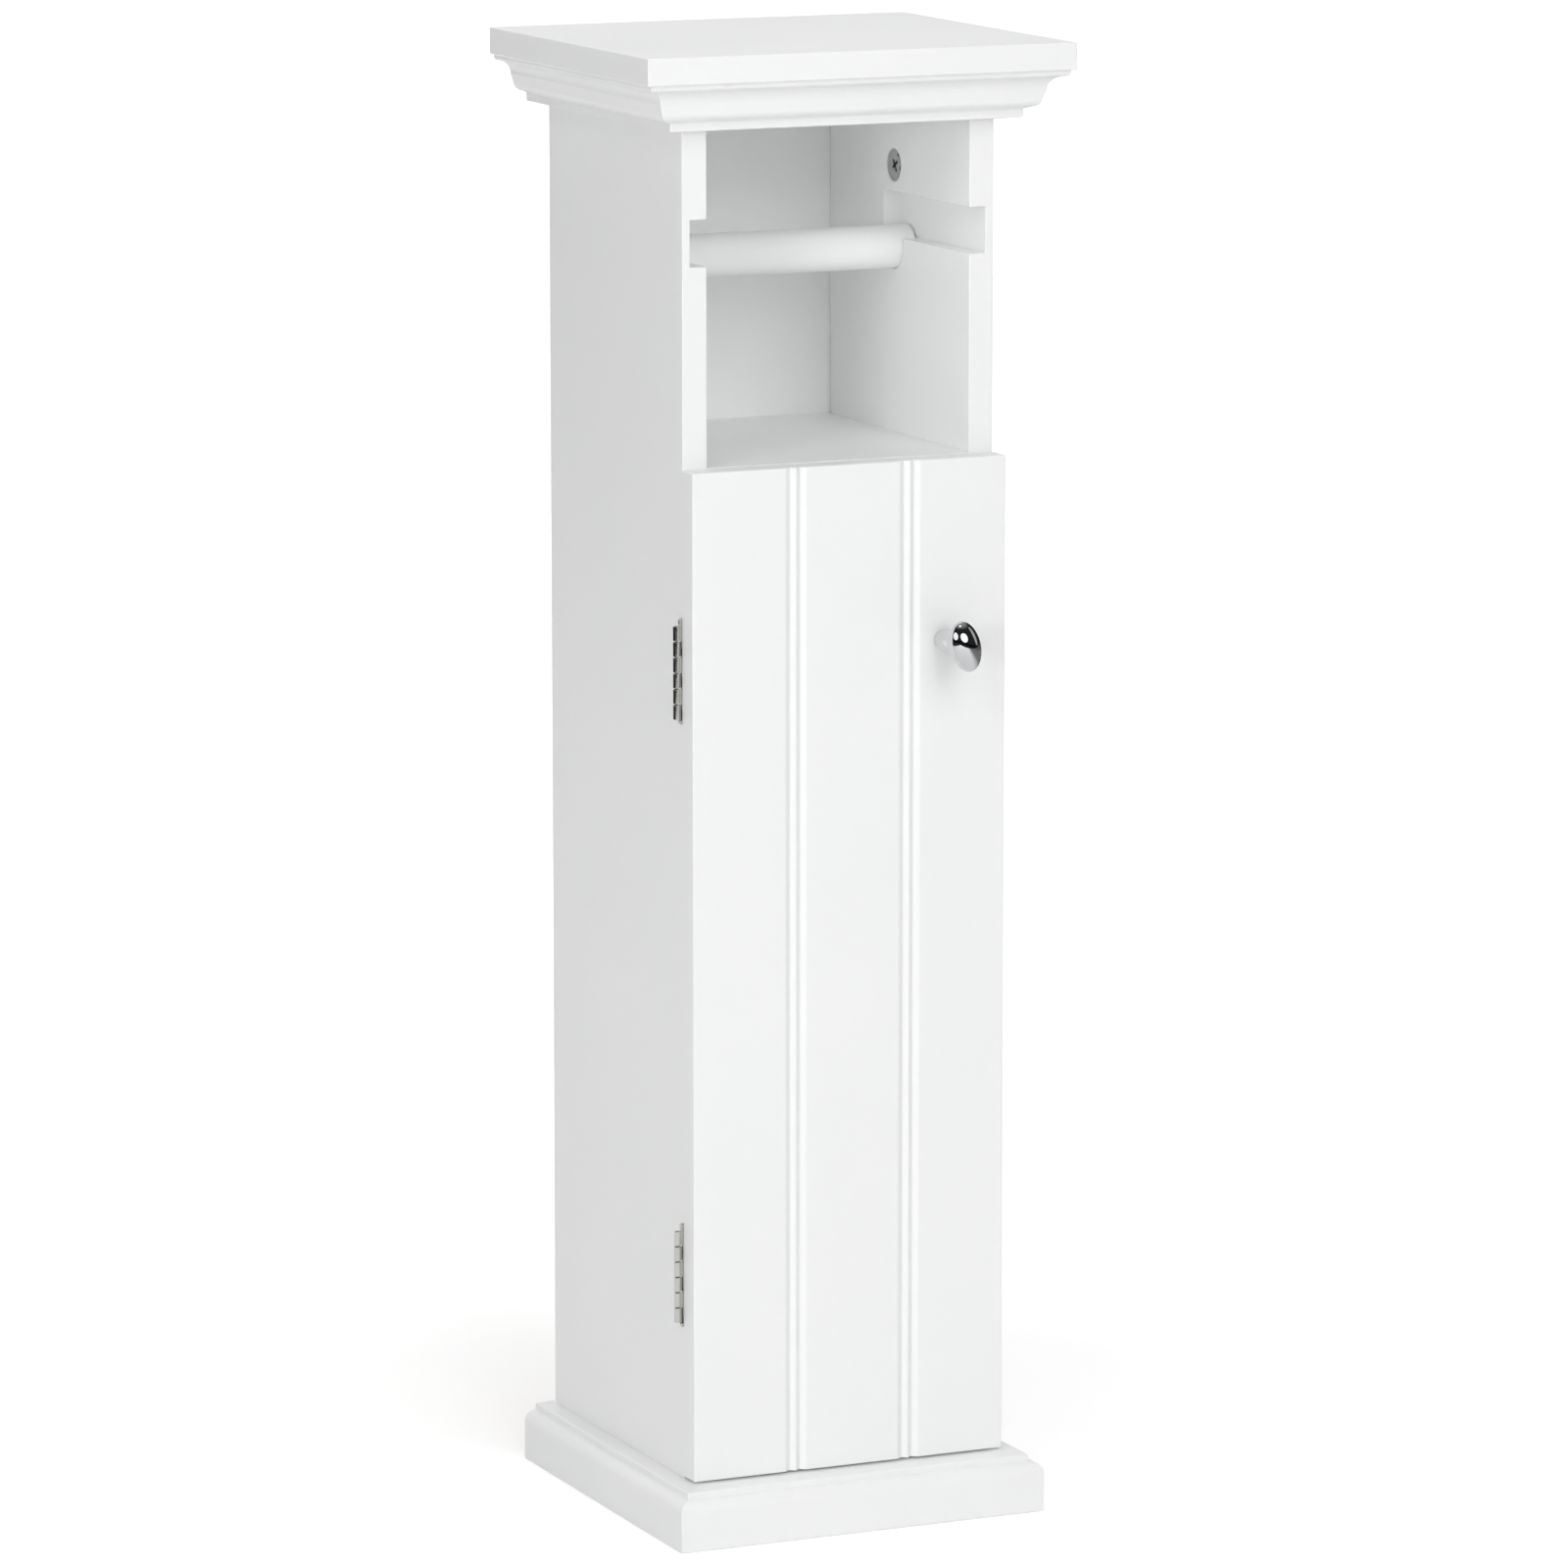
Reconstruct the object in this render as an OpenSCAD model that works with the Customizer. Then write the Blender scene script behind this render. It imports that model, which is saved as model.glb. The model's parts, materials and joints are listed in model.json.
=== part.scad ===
// Slim free-standing cabinet for toilet rolls: a cupboard with a fluted door below,
// and above it an open niche whose loose bar lifts out of two routed slots.
// +Z is up, -Y is the front, +X is the right as seen from the front. The origin is on
// the floor, at the middle of the cabinet's box.

/* [Body] */
// Height from the floor to the top of the top slab
total_h = 673.5; // [640:0.5:720]
// Width over the two side panels
body_w = 152.6; // [150:0.1:190]
// Depth of the side panels, front edge to back edge
side_d = 153; // [150:1:190]
// Thickness of the painted boards
board_t = 12; // [12:0.5:15]
// Thickness of the nailed-on back panel
back_t = 3; // [2.5:0.5:6]
// How much narrower than the body the back panel is at each side
back_set_in = 2.5; // [1:0.5:4]
// Height of the top of the niche's floor
niche_floor_z = 487.9; // [450:0.1:495]

/* [Top] */
// Thickness of the top slab
slab_t = 12.5; // [10:0.5:18]
// How far the top slab stands out past the body at the sides and the front
slab_overhang = 27.9; // [26:0.1:34]
// Thickness of the cap board under the slab
cap_t = 17; // [15:0.5:20]
// How far the cornice reaches down over the side panels
cornice_drop = 6; // [4:0.5:12]

/* [Plinth] */
// Height of the plinth's top, where the cupboard's floor rests
plinth_h = 26.4; // [24:0.1:40]
// How far the plinth stands out past the side panels
plinth_overhang = 14.4; // [12:0.1:16]
// Depth of the rail behind the plinth's front moulding
front_rail_d = 15.4; // [15:0.1:20]

/* [Roll bar] */
// Diameter of the roll bar
bar_d = 20; // [18:0.5:22]
// Depth of the slots routed into the side panels
slot_deep = 8; // [6:0.5:8]
// Height of the slots' lower edge
slot_z = 577.8; // [550:0.1:585]
// Height of the slots
slot_h = 21; // [21:0.5:25]
// Distance from the side panels' front edges to the middle of the pocket that holds the bar
pocket_back = 81.2; // [60:0.1:90]
// Depth of the pocket below the slot's lower edge
pocket_drop = 14.9; // [12:0.1:18]

/* [Door] */
// Width of the door, which stands out a little past both side panels
door_w = 154; // [153:0.5:190]
// Thickness of the door
door_t = 12; // [12:0.5:15]
// Gap between the door's back and the side panels' front edges
door_gap = 0.7; // [0.7:0.1:0.9]
// Gap between the door's lower edge and the plinth
door_foot_gap = 1; // [0.8:0.1:2]
// Width of one flute in the door's face
flute_w = 4.9; // [3:0.1:6]
// Depth of one flute
flute_deep = 1.9; // [1:0.1:2.5]
// Distance between the middles of the two pairs of flutes
flute_apart = 56; // [48:0.1:60]
// How far the flutes are set to the right of the door's middle
flute_shift = 1.5; // [-3:0.1:3]

/* [Knob] */
// Distance of the knob from the door's upright centre line
knob_x = 45.8; // [38:0.1:60]
// Height of the knob's axis above the floor
knob_z = 405.8; // [200:0.1:450]
// How far the knob stands out from the door
knob_out = 29.3; // [24:0.1:34]
// Height of the knob's oval head
knob_head_h = 24; // [18:0.5:26]
// Width of the knob's oval head
knob_head_w = 14.6; // [12:0.1:18]
// Tilt of the oval head about the knob's axis, in degrees
knob_tilt = 15; // [0:1:30]

/* [Hinges] */
// Height of the middle of the lower hinge's barrel
lower_hinge_z = 120.6; // [80:0.1:150]
// Height of the middle of the upper hinge's barrel
upper_hinge_z = 396.8; // [340:0.1:420]
// Length of a hinge's leaves
leaf_len = 48; // [44:0.5:60]
// Number of knuckles in a hinge
knuckles = 6; // [4:2:8]

/* [Hidden] */

// Colours, as seen on the object
PAINT = "#f0f0ef";
BARE_BOARD = "#9a7a58";
BARE_WOOD = "#d8bd92";
ZINC = "#8e9394";
NICKEL = "#c9c6bd";
BRIGHT = "#d9dcde";
FERRITE = "#3a3a3c";
HOUSING = "#ececea";

// Small clearances: between a fixed fastener and its hole, between two pieces that meet,
// and what a cut runs past the solid that it cuts
snug = 0.05;
lap = 0.1;
past = 1;

// Heights
side_top = total_h - slab_t - cap_t;
slab_z = total_h - slab_t;
cornice_z = side_top - cornice_drop;
niche_floor_under = niche_floor_z - board_t;
cupboard_floor_z = plinth_h + board_t;
door_z = plinth_h + door_foot_gap;
door_top_lap = 0.2;
door_h = niche_floor_z - door_top_lap - door_z;

// The front edges of the side panels lie at front_y, so that the box from the knob's
// front to the back panel's back is centred on the origin
depth_behind = side_d + back_t;
depth_before = door_gap + door_t + knob_out;
front_y = (depth_before - depth_behind) / 2;
back_y = front_y + side_d;
wall_y = front_y + depth_behind;
door_back_y = front_y - door_gap;
door_face_y = door_back_y - door_t;

// Across
side_x = body_w / 2;
inner_x = side_x - board_t;
board_mid_x = side_x - board_t / 2;
door_x = door_w / 2;

// A box between two opposite corners
module box(low, high) {
    translate(low) cube(high - low);
}

// Points on an arc in a flat outline
function arc(centre, r, from, to, steps = 8) = [
    for (i = [0:steps])
        let (a = from + (to - from) * i / steps) centre + r * [cos(a), sin(a)]
];

// A cylinder along +Y, from y to y + length
module rod_y(x, y, z, d, length) {
    translate([x, y, z]) rotate([-90, 0, 0]) cylinder(d = d, h = length, $fn = 48);
}

// A countersunk screw, head up at z = 0 and shank pointing down; room is the extra
// radius that turns it into its own hole
module countersunk_screw(head_d, shank_d, length, room = 0) {
    head_deep = (head_d - shank_d) / 2;
    point_len = shank_d;
    translate([0, 0, -head_deep])
        cylinder(d1 = shank_d + 2 * room, d2 = head_d + 2 * room, h = head_deep, $fn = 32);
    translate([0, 0, -length + point_len])
        cylinder(d = shank_d + 2 * room, h = length - point_len - head_deep, $fn = 32);
    translate([0, 0, -length])
        cylinder(d1 = room > 0 ? shank_d + 2 * room : shank_d / 4,
                 d2 = shank_d + 2 * room, h = point_len, $fn = 32);
}

// ---------------------------------------------------------------- cam joints
// In a cam joint's own frame the joint face is z = 0, the board with the cam lies
// towards +Z, the other board towards -Z, and the cam's face looks along +X.
cam_d = 15;
cam_deep = 9.4;
cam_back = board_t / 2 - cam_deep;
bolt_thread_d = 6;
bolt_thread_len = 8;
bolt_shank_d = 5;
bolt_head_d = 6.4;
bolt_head_len = 3;
bolt_hole_d = 7;
bolt_hole_spare = 0.5;
top_cam_reach = 33.6;
shelf_cam_reach = 24;

module cam_lock_at(reach) {
    mouth_w = bolt_head_d + 4 * lap;
    cross_len = 8;
    cross_w = 1.5;
    cross_deep = 2.2;
    notch_w = 4.6;
    notch_deep = 1.5;
    notch_from_rim = 1.8;
    translate([0, 0, reach]) difference() {
        translate([cam_back, 0, 0]) rotate([0, 90, 0])
            cylinder(d = cam_d, h = cam_deep, $fn = 48);
        translate([-mouth_w / 2, -mouth_w / 2, -cam_d])
            cube([mouth_w, mouth_w, cam_d + bolt_head_len / 2 + lap]);
        for (turn = [45, 135])
            translate([board_t / 2, 0, 0]) rotate([turn, 0, 0])
                cube([2 * cross_deep, cross_w, cross_len], center = true);
        rotate([-50, 0, 0]) translate([board_t / 2, 0, -cam_d / 2])
            cube([2 * notch_deep, notch_w, 2 * notch_from_rim], center = true);
    }
}

module cam_bolt_at(reach) {
    head_z = reach - bolt_head_len / 2;
    translate([0, 0, -bolt_thread_len])
        cylinder(d = bolt_thread_d, h = bolt_thread_len, $fn = 32);
    cylinder(d = bolt_shank_d, h = head_z, $fn = 32);
    translate([0, 0, head_z]) cylinder(d = bolt_head_d, h = bolt_head_len, $fn = 32);
}

// What is bored into the board that holds the cam
module cam_bores(reach) {
    translate([0, 0, -past]) cylinder(d = bolt_hole_d, h = past + reach, $fn = 32);
    translate([cam_back - snug, 0, reach]) rotate([0, 90, 0])
        cylinder(d = cam_d + 2 * snug, h = cam_deep + snug + past, $fn = 48);
}

// What is bored into the board that the bolt screws into
module bolt_bore() {
    deep = bolt_thread_len + bolt_hole_spare;
    translate([0, 0, -deep])
        cylinder(d = bolt_thread_d + 2 * snug, h = deep + past, $fn = 32);
}

// The two cams that hold the cap board down, one on each side panel's inner face
top_cam_y = front_y + 80.6;
module at_top_cams() {
    for (s = [-1, 1]) translate([s * board_mid_x, top_cam_y, side_top])
        rotate([180, 0, s > 0 ? 180 : 0]) children();
}

// Four cams under a shelf board whose middle height is z
shelf_cam_ys = [front_y + 35, back_y - 35];
module at_shelf_cams(z) {
    for (s = [-1, 1], y = shelf_cam_ys) translate([s * inner_x, y, z])
        rotate([0, 90, s > 0 ? 180 : 0]) children();
}
niche_board_mid_z = niche_floor_z - board_t / 2;
cupboard_board_mid_z = plinth_h + board_t / 2;

// ---------------------------------------------------------------- dowels
dowel_d = 6;
dowel_in_face = 8;
dowel_in_edge = 18;
dowel_spare = 0.5;
dowel_inset = 22;

// A dowel across a joint face at z = 0, its long half towards +Z
module dowel(room = 0, spare = 0) {
    translate([0, 0, -dowel_in_face - spare])
        cylinder(d = dowel_d + 2 * room, h = dowel_in_face + dowel_in_edge + 2 * spare, $fn = 32);
}

module at_dowels() {
    for (s = [-1, 1]) {
        for (y = [front_y + dowel_inset, back_y - dowel_inset])
            translate([s * board_mid_x, y, side_top]) rotate([180, 0, 0]) children();
        for (z = [niche_board_mid_z, cupboard_board_mid_z])
            translate([s * inner_x, (front_y + back_y) / 2, z])
                rotate([0, 90, s > 0 ? 180 : 0]) children();
    }
}

// ---------------------------------------------------------------- nails and cap screws
nail_d = 1.4;
nail_len = 14;
nail_head_d = 3.2;
nail_head_t = 0.5;
nail_inset = board_t / 2;

// One nail driven along -Y, its head flush with the back panel's back
module nail(room = 0) {
    rod_y(0, -nail_len - room, 0, nail_d + 2 * room, nail_len + room);
    rod_y(0, -nail_head_t - room, 0, nail_head_d + 2 * room, nail_head_t + room);
}

side_nail_count = 6;
module at_nails() {
    low = cupboard_floor_z + dowel_inset;
    high = side_top - dowel_inset;
    for (s = [-1, 1], i = [0:side_nail_count - 1])
        translate([s * (side_x - nail_inset), wall_y, low + (high - low) * i / (side_nail_count - 1)])
            children();
    for (s = [-1, 1], z = [cupboard_board_mid_z, niche_board_mid_z])
        translate([s * inner_x / 2, wall_y, z]) children();
}

cap_screw_head_d = 7;
cap_screw_d = 3.5;
cap_screw_len = 25;
module at_cap_screws() {
    for (s = [-1, 1], y = [front_y + dowel_inset, back_y - dowel_inset])
        translate([s * inner_x / 2, y, side_top]) rotate([180, 0, 0]) children();
}

// ---------------------------------------------------------------- hinges
// Each hinge lies in the joint between the door and the left panel's front edge. Its
// barrel stands outside the left face.
barrel_r = 1.5;
pin_r = 0.75;
pin_fit = 0.05;
barrel_x = -door_x - 2.6;
barrel_y = front_y - door_gap / 2;
leaf_t = 0.6;
leaf_in_x = -door_x + 10.4;
leaf_notch_x = -door_x - 0.2;
leaf_edge_x = -door_x - 1.4;
knuckle_len = 7.1;
barrel_len = knuckles * knuckle_len;
leaf_rise = 0.6;
leaf_screw_head_d = 4;
leaf_screw_d = 2.2;
leaf_screw_len = 9.5;
leaf_screw_x = -door_x + board_t / 2;
leaf_screw_zs = [-16, 0, 16];

// One leaf of a hinge centred at height z. towards is 1 for the cabinet's leaf, which
// lies behind the barrel's middle plane, and -1 for the door's leaf in front of it.
// It has the knuckles of one parity, and is notched where the other leaf has its own.
module hinge_leaf(z, towards) {
    parity = towards > 0 ? 0 : 1;
    near_y = barrel_y + towards * lap / 2;
    far_y = near_y + towards * leaf_t;
    low_y = min(near_y, far_y);
    low_z = z - barrel_len / 2;
    ids = [0:knuckles - 1];
    difference() {
        union() {
            difference() {
                box([leaf_edge_x, low_y, z + leaf_rise - leaf_len / 2],
                    [leaf_in_x, low_y + leaf_t, z + leaf_rise + leaf_len / 2]);
                for (i = ids) if (i % 2 != parity)
                    box([leaf_edge_x - past, low_y - past, low_z + i * knuckle_len - lap / 2],
                        [leaf_notch_x, low_y + leaf_t + past, low_z + (i + 1) * knuckle_len + lap / 2]);
            }
            for (i = ids) if (i % 2 == parity) translate([0, 0, low_z + i * knuckle_len + lap / 2]) {
                translate([barrel_x, low_y, 0])
                    cube([leaf_notch_x - barrel_x, leaf_t, knuckle_len - lap]);
                translate([barrel_x, barrel_y, 0])
                    cylinder(r = barrel_r, h = knuckle_len - lap, $fn = 48);
            }
        }
        translate([barrel_x, barrel_y, z - barrel_len / 2 - past])
            cylinder(r = pin_r + pin_fit, h = barrel_len + 2 * past, $fn = 48);
        at_leaf_screws(z, towards)
            countersunk_screw(leaf_screw_head_d, leaf_screw_d, leaf_screw_len, snug);
    }
}

// Screws through one leaf: heads on its inner face, points into the panel or the door
module at_leaf_screws(z, towards) {
    for (dz = leaf_screw_zs)
        translate([leaf_screw_x, barrel_y + towards * lap / 2, z + leaf_rise + dz])
            rotate([towards > 0 ? 90 : -90, 0, 0]) children();
}

// The shallow seat that a leaf is let into
module leaf_seat(z, towards) {
    deep_y = barrel_y + towards * (lap / 2 + leaf_t + snug);
    near_y = barrel_y + towards * lap / 4;
    box([-door_x - past, min(deep_y, near_y), z + leaf_rise - leaf_len / 2 - lap],
        [leaf_in_x + lap, max(deep_y, near_y), z + leaf_rise + leaf_len / 2 + lap]);
}

hinge_zs = [lower_hinge_z, upper_hinge_z];

// ---------------------------------------------------------------- magnetic catch
catch_x = 34;
catch_w = 24;
catch_flange_w = 42;
catch_flange_t = 3;
catch_h = 13;
catch_d = 14;
catch_set_back = 1.6;
catch_y = front_y + catch_set_back;
catch_screw_x = 16.5;
catch_screw_head_d = 5.6;
catch_screw_d = 2.9;
catch_screw_len = 12;
magnet_w = 18;
magnet_h = 3.6;
magnet_d = 11;
pole_t = 1;
pole_out = 1.1;
catch_mid_z = niche_floor_under - catch_h / 2 - 1;
strike_w = 30;
strike_h = 12;
strike_t = 1;
strike_screw_head_d = 5;
strike_screw_d = 2.4;
strike_screw_len = 9;

module at_catch_screws() {
    for (s = [-1, 1])
        translate([catch_x + s * catch_screw_x, catch_y + catch_d / 2, niche_floor_under - catch_flange_t])
            rotate([180, 0, 0]) children();
}

module at_strike_screw() {
    translate([catch_x, door_back_y + strike_t, catch_mid_z]) rotate([-90, 0, 0]) children();
}

// ---------------------------------------------------------------- boards
// The slot in a side panel, as an outline seen from the side: y runs back from the
// panel's front edge. It comes in from the front and drops into a round-bottomed pocket.
pocket_r = bar_d / 2 + 0.5;
slot_corner_r = 6;
module slot_outline() {
    pocket_far = pocket_back + pocket_r;
    translate([-past, slot_z]) square([pocket_far - slot_corner_r + past, slot_h]);
    translate([pocket_back - pocket_r, slot_z]) square([2 * pocket_r, slot_h - slot_corner_r]);
    translate([pocket_far - slot_corner_r, slot_z + slot_h - slot_corner_r])
        circle(r = slot_corner_r, $fn = 48);
    translate([pocket_back, slot_z - pocket_drop + pocket_r]) {
        circle(r = pocket_r, $fn = 64);
        translate([-pocket_r, 0]) square([2 * pocket_r, pocket_drop - pocket_r + past]);
    }
}

// A side panel on side s: -1 left, 1 right
module side_panel(s) {
    mirror([s < 0 ? 1 : 0, 0, 0]) difference() {
        box([inner_x, front_y, 0], [side_x, back_y, side_top]);
        translate([inner_x - past, front_y, 0]) rotate([90, 0, 90])
            linear_extrude(slot_deep + past) slot_outline();
    }
}

// Everything that is bored or let into the side panels
module side_bores() {
    at_top_cams() cam_bores(top_cam_reach);
    at_shelf_cams(niche_board_mid_z) bolt_bore();
    at_shelf_cams(cupboard_board_mid_z) bolt_bore();
    at_dowels() dowel(snug, dowel_spare);
    at_nails() nail(snug);
}

module left_side_panel() {
    color(PAINT) difference() {
        side_panel(-1);
        side_bores();
        for (z = hinge_zs) {
            leaf_seat(z, 1);
            at_leaf_screws(z, 1)
                countersunk_screw(leaf_screw_head_d, leaf_screw_d, leaf_screw_len, snug);
        }
    }
}

module right_side_panel() {
    color(PAINT) difference() {
        side_panel(1);
        side_bores();
    }
}

back_x = side_x - back_set_in;
module back_panel() {
    color(BARE_BOARD) difference() {
        box([-back_x, back_y, 0], [back_x, wall_y, side_top]);
        at_nails() nail(snug);
    }
}

// A board between the side panels, with its underside at z
module between_board(z) {
    difference() {
        box([-inner_x, front_y, z], [inner_x, back_y, z + board_t]);
        at_shelf_cams(z + board_t / 2) cam_bores(shelf_cam_reach);
        at_dowels() dowel(snug, dowel_spare);
        at_nails() nail(snug);
    }
}

module niche_floor() {
    color(PAINT) difference() {
        between_board(niche_floor_under);
        at_catch_screws() countersunk_screw(catch_screw_head_d, catch_screw_d, catch_screw_len, snug);
    }
}

module cupboard_floor() {
    color(PAINT) between_board(plinth_h);
}

module cap_board() {
    color(PAINT) difference() {
        box([-side_x, front_y, side_top], [side_x, wall_y, slab_z]);
        at_top_cams() bolt_bore();
        at_dowels() dowel(snug, dowel_spare);
        at_cap_screws() countersunk_screw(cap_screw_head_d, cap_screw_d, cap_screw_len, snug);
    }
}

module top_slab() {
    color(PAINT) difference() {
        box([-side_x - slab_overhang, front_y - slab_overhang, slab_z],
            [side_x + slab_overhang, wall_y, total_h]);
        at_cap_screws() countersunk_screw(cap_screw_head_d, cap_screw_d, cap_screw_len, snug);
    }
}

// ---------------------------------------------------------------- mouldings
// A moulding's section has its first axis pointing out from the body, and its second
// axis pointing up. All three sides of a run share one section and meet in mitres.

// Cornice: a fillet at the foot, a round nose, a cove and a lip under the slab
cornice_foot_out = 9.9;
cornice_foot_h = 3.9;
cornice_soffit_rise = 1.2;
nose_r = 4.6;
nose_out = 11.9;
nose_z = cornice_z + 10.6;
cove_r = 6.3;
cornice_set_back = 2.1;
cornice_out = slab_overhang - cornice_set_back;
cove_out = cornice_out - 1.8;
cove_z = slab_z - 9.1;
cornice_section = concat(
    [
        [0, cornice_z],
        [cornice_foot_out, cornice_z + cornice_soffit_rise],
        [cornice_foot_out, cornice_z + cornice_soffit_rise + cornice_foot_h]
    ],
    arc([nose_out, nose_z], nose_r, -85, -5, 6),
    arc([cove_out, cove_z], cove_r, 180, 92, 8),
    [
        [cornice_out - 0.7, slab_z - 2.5],
        [cornice_out, slab_z - 1.6],
        [cornice_out, slab_z],
        [0, slab_z]
    ]
);

// Plinth: an upright face, a quarter round, and a small step up to the top
plinth_round_r = 5.5;
plinth_step_h = 2.8;
plinth_step_ease = 0.8;
plinth_step_out = plinth_overhang - plinth_round_r;
plinth_step_z = plinth_h - 0.4;
plinth_section = concat(
    [[0, 0], [plinth_overhang, 0]],
    arc([plinth_step_out, plinth_step_z - plinth_step_h - plinth_round_r], plinth_round_r, 0, 90, 8),
    arc([plinth_step_out - plinth_step_ease, plinth_step_z - plinth_step_ease],
        plinth_step_ease, 0, 90, 4),
    [[0, plinth_h]]
);

// A front length of moulding, whose back is the upright plane at y, mitred at both ends
module front_moulding(section, y, out) {
    intersection() {
        translate([side_x + out, y, 0]) rotate([90, 0, -90])
            linear_extrude(2 * (side_x + out)) polygon(section);
        linear_extrude(total_h)
            polygon([[-side_x, y], [side_x, y], [side_x + out, y - out], [-side_x - out, y - out]]);
    }
}

// A side length of moulding on side s, mitred at the front and square at the wall
module side_moulding(section, y, out, s) {
    mirror([s < 0 ? 1 : 0, 0, 0]) intersection() {
        translate([side_x, wall_y, 0]) rotate([90, 0, 0])
            linear_extrude(wall_y - y + out) polygon(section);
        linear_extrude(total_h)
            polygon([[side_x, y], [side_x, wall_y], [side_x + out, wall_y], [side_x + out, y - out]]);
    }
}

plinth_back_y = front_y - front_rail_d;

module cornice_front() color(PAINT) front_moulding(cornice_section, front_y, cornice_out);
module cornice_left() color(PAINT) side_moulding(cornice_section, front_y, cornice_out, -1);
module cornice_right() color(PAINT) side_moulding(cornice_section, front_y, cornice_out, 1);
module plinth_front() color(PAINT) front_moulding(plinth_section, plinth_back_y, plinth_overhang);
module plinth_left() color(PAINT) side_moulding(plinth_section, plinth_back_y, plinth_overhang, -1);
module plinth_right() color(PAINT) side_moulding(plinth_section, plinth_back_y, plinth_overhang, 1);

module plinth_front_rail() {
    color(PAINT) box([-side_x, plinth_back_y, 0], [side_x, front_y, plinth_h]);
}

module plinth_back_rail() {
    color(PAINT) box([-inner_x, back_y - board_t, 0], [inner_x, back_y, plinth_h]);
}

// ---------------------------------------------------------------- roll bar
bar_end_play = 0.5;
bar_rest_gap = 0.2;
bar_ease = 1;
bar_len = 2 * (inner_x + slot_deep - bar_end_play);
bar_z = slot_z - pocket_drop + bar_d / 2 + bar_rest_gap;

module roll_bar() {
    r = bar_d / 2;
    color(PAINT) translate([-bar_len / 2, front_y + pocket_back, bar_z]) rotate([0, 90, 0])
        rotate_extrude($fn = 64) polygon([
            [0, 0], [r - bar_ease, 0], [r, bar_ease],
            [r, bar_len - bar_ease], [r - bar_ease, bar_len], [0, bar_len]
        ]);
}

// ---------------------------------------------------------------- door
knob_bolt_d = 4;
knob_bolt_hole_d = 4.4;

// Two V-shaped flutes side by side, as an outline seen from above, centred on x = 0
module flute_pair() {
    for (s = [-1, 1]) translate([s * flute_w / 2, 0])
        polygon([[-flute_w / 2, 0], [0, flute_deep], [flute_w / 2, 0]]);
}

module door() {
    color(PAINT) difference() {
        translate([0, 0, door_z]) linear_extrude(door_h) difference() {
            translate([-door_x, door_face_y]) square([door_w, door_t]);
            for (s = [-1, 1])
                translate([flute_shift + s * flute_apart / 2, door_face_y]) flute_pair();
        }
        rod_y(knob_x, door_face_y - past, knob_z, knob_bolt_hole_d, door_t + 2 * past);
        for (z = hinge_zs) {
            leaf_seat(z, -1);
            at_leaf_screws(z, -1)
                countersunk_screw(leaf_screw_head_d, leaf_screw_d, leaf_screw_len, snug);
        }
        at_strike_screw()
            countersunk_screw(strike_screw_head_d, strike_screw_d, strike_screw_len, snug);
    }
}

// ---------------------------------------------------------------- knob
stem_foot_d = 9.2;
stem_flare_d = 11.8;
stem_neck_d = 12.8;
// The stem ends inside the head, this far behind the head's middle
stem_short = 2.4;
head_half_d = 5.6;
knob_bolt_in_knob = 12;
head_rings = 12;
head_slices = 28;

// The oval head: rings of points from its back pole to its front pole, on an outline
// that is an ellipse in every direction. The rings' order turns the faces outwards.
module oval_head() {
    points = [
        for (k = [1:head_rings - 1], j = [0:head_slices - 1])
            let (lat = -90 + 180 * k / head_rings, lon = 360 * j / head_slices)
                [
                    knob_head_w / 2 * cos(lat) * cos(lon),
                    knob_head_h / 2 * cos(lat) * sin(lon),
                    head_half_d * sin(lat)
                ]
    ];
    last = (head_rings - 1) * head_slices;
    all_points = concat(points, [[0, 0, -head_half_d], [0, 0, head_half_d]]);
    back_fan = [for (j = [0:head_slices - 1]) [last, j, (j + 1) % head_slices]];
    front_fan = [
        for (j = [0:head_slices - 1])
            let (row = last - head_slices) [last + 1, row + (j + 1) % head_slices, row + j]
    ];
    bands = [
        for (k = [0:head_rings - 3], j = [0:head_slices - 1])
            let (
                a = k * head_slices + j,
                b = k * head_slices + (j + 1) % head_slices
            )
                [a, a + head_slices, b + head_slices, b]
    ];
    polyhedron(points = all_points, faces = concat(back_fan, bands, front_fan));
}

// The knob in its own frame: its foot on z = 0, its head towards +Z
module knob_shape() {
    neck_z = knob_out - head_half_d - stem_short;
    difference() {
        union() {
            rotate_extrude($fn = 48) polygon([
                [0, 0], [stem_foot_d / 2 - 0.6, 0], [stem_foot_d / 2, 0.8],
                [stem_foot_d / 2, 2], [stem_flare_d / 2 - 0.5, 5],
                [stem_flare_d / 2, 8], [stem_neck_d / 2, neck_z], [0, neck_z]
            ]);
            translate([0, 0, knob_out - head_half_d]) oval_head();
        }
        translate([0, 0, -past])
            cylinder(d = knob_bolt_d + 2 * snug, h = knob_bolt_in_knob + bolt_hole_spare + past, $fn = 32);
    }
}

module door_knob() {
    color(BRIGHT) translate([knob_x, door_face_y, knob_z]) rotate([90, 0, 0])
        rotate([0, 0, knob_tilt]) knob_shape();
}

module knob_screw() {
    head_t = 2.4;
    color(ZINC) {
        rod_y(knob_x, door_face_y - knob_bolt_in_knob, knob_z, knob_bolt_d, knob_bolt_in_knob + door_t);
        difference() {
            rod_y(knob_x, door_back_y, knob_z, 2 * knob_bolt_d, head_t);
            for (turn = [0, 90]) translate([knob_x, door_back_y + head_t, knob_z])
                rotate([0, turn, 0]) cube([knob_bolt_d, head_t, head_t / 2], center = true);
        }
    }
}

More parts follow.
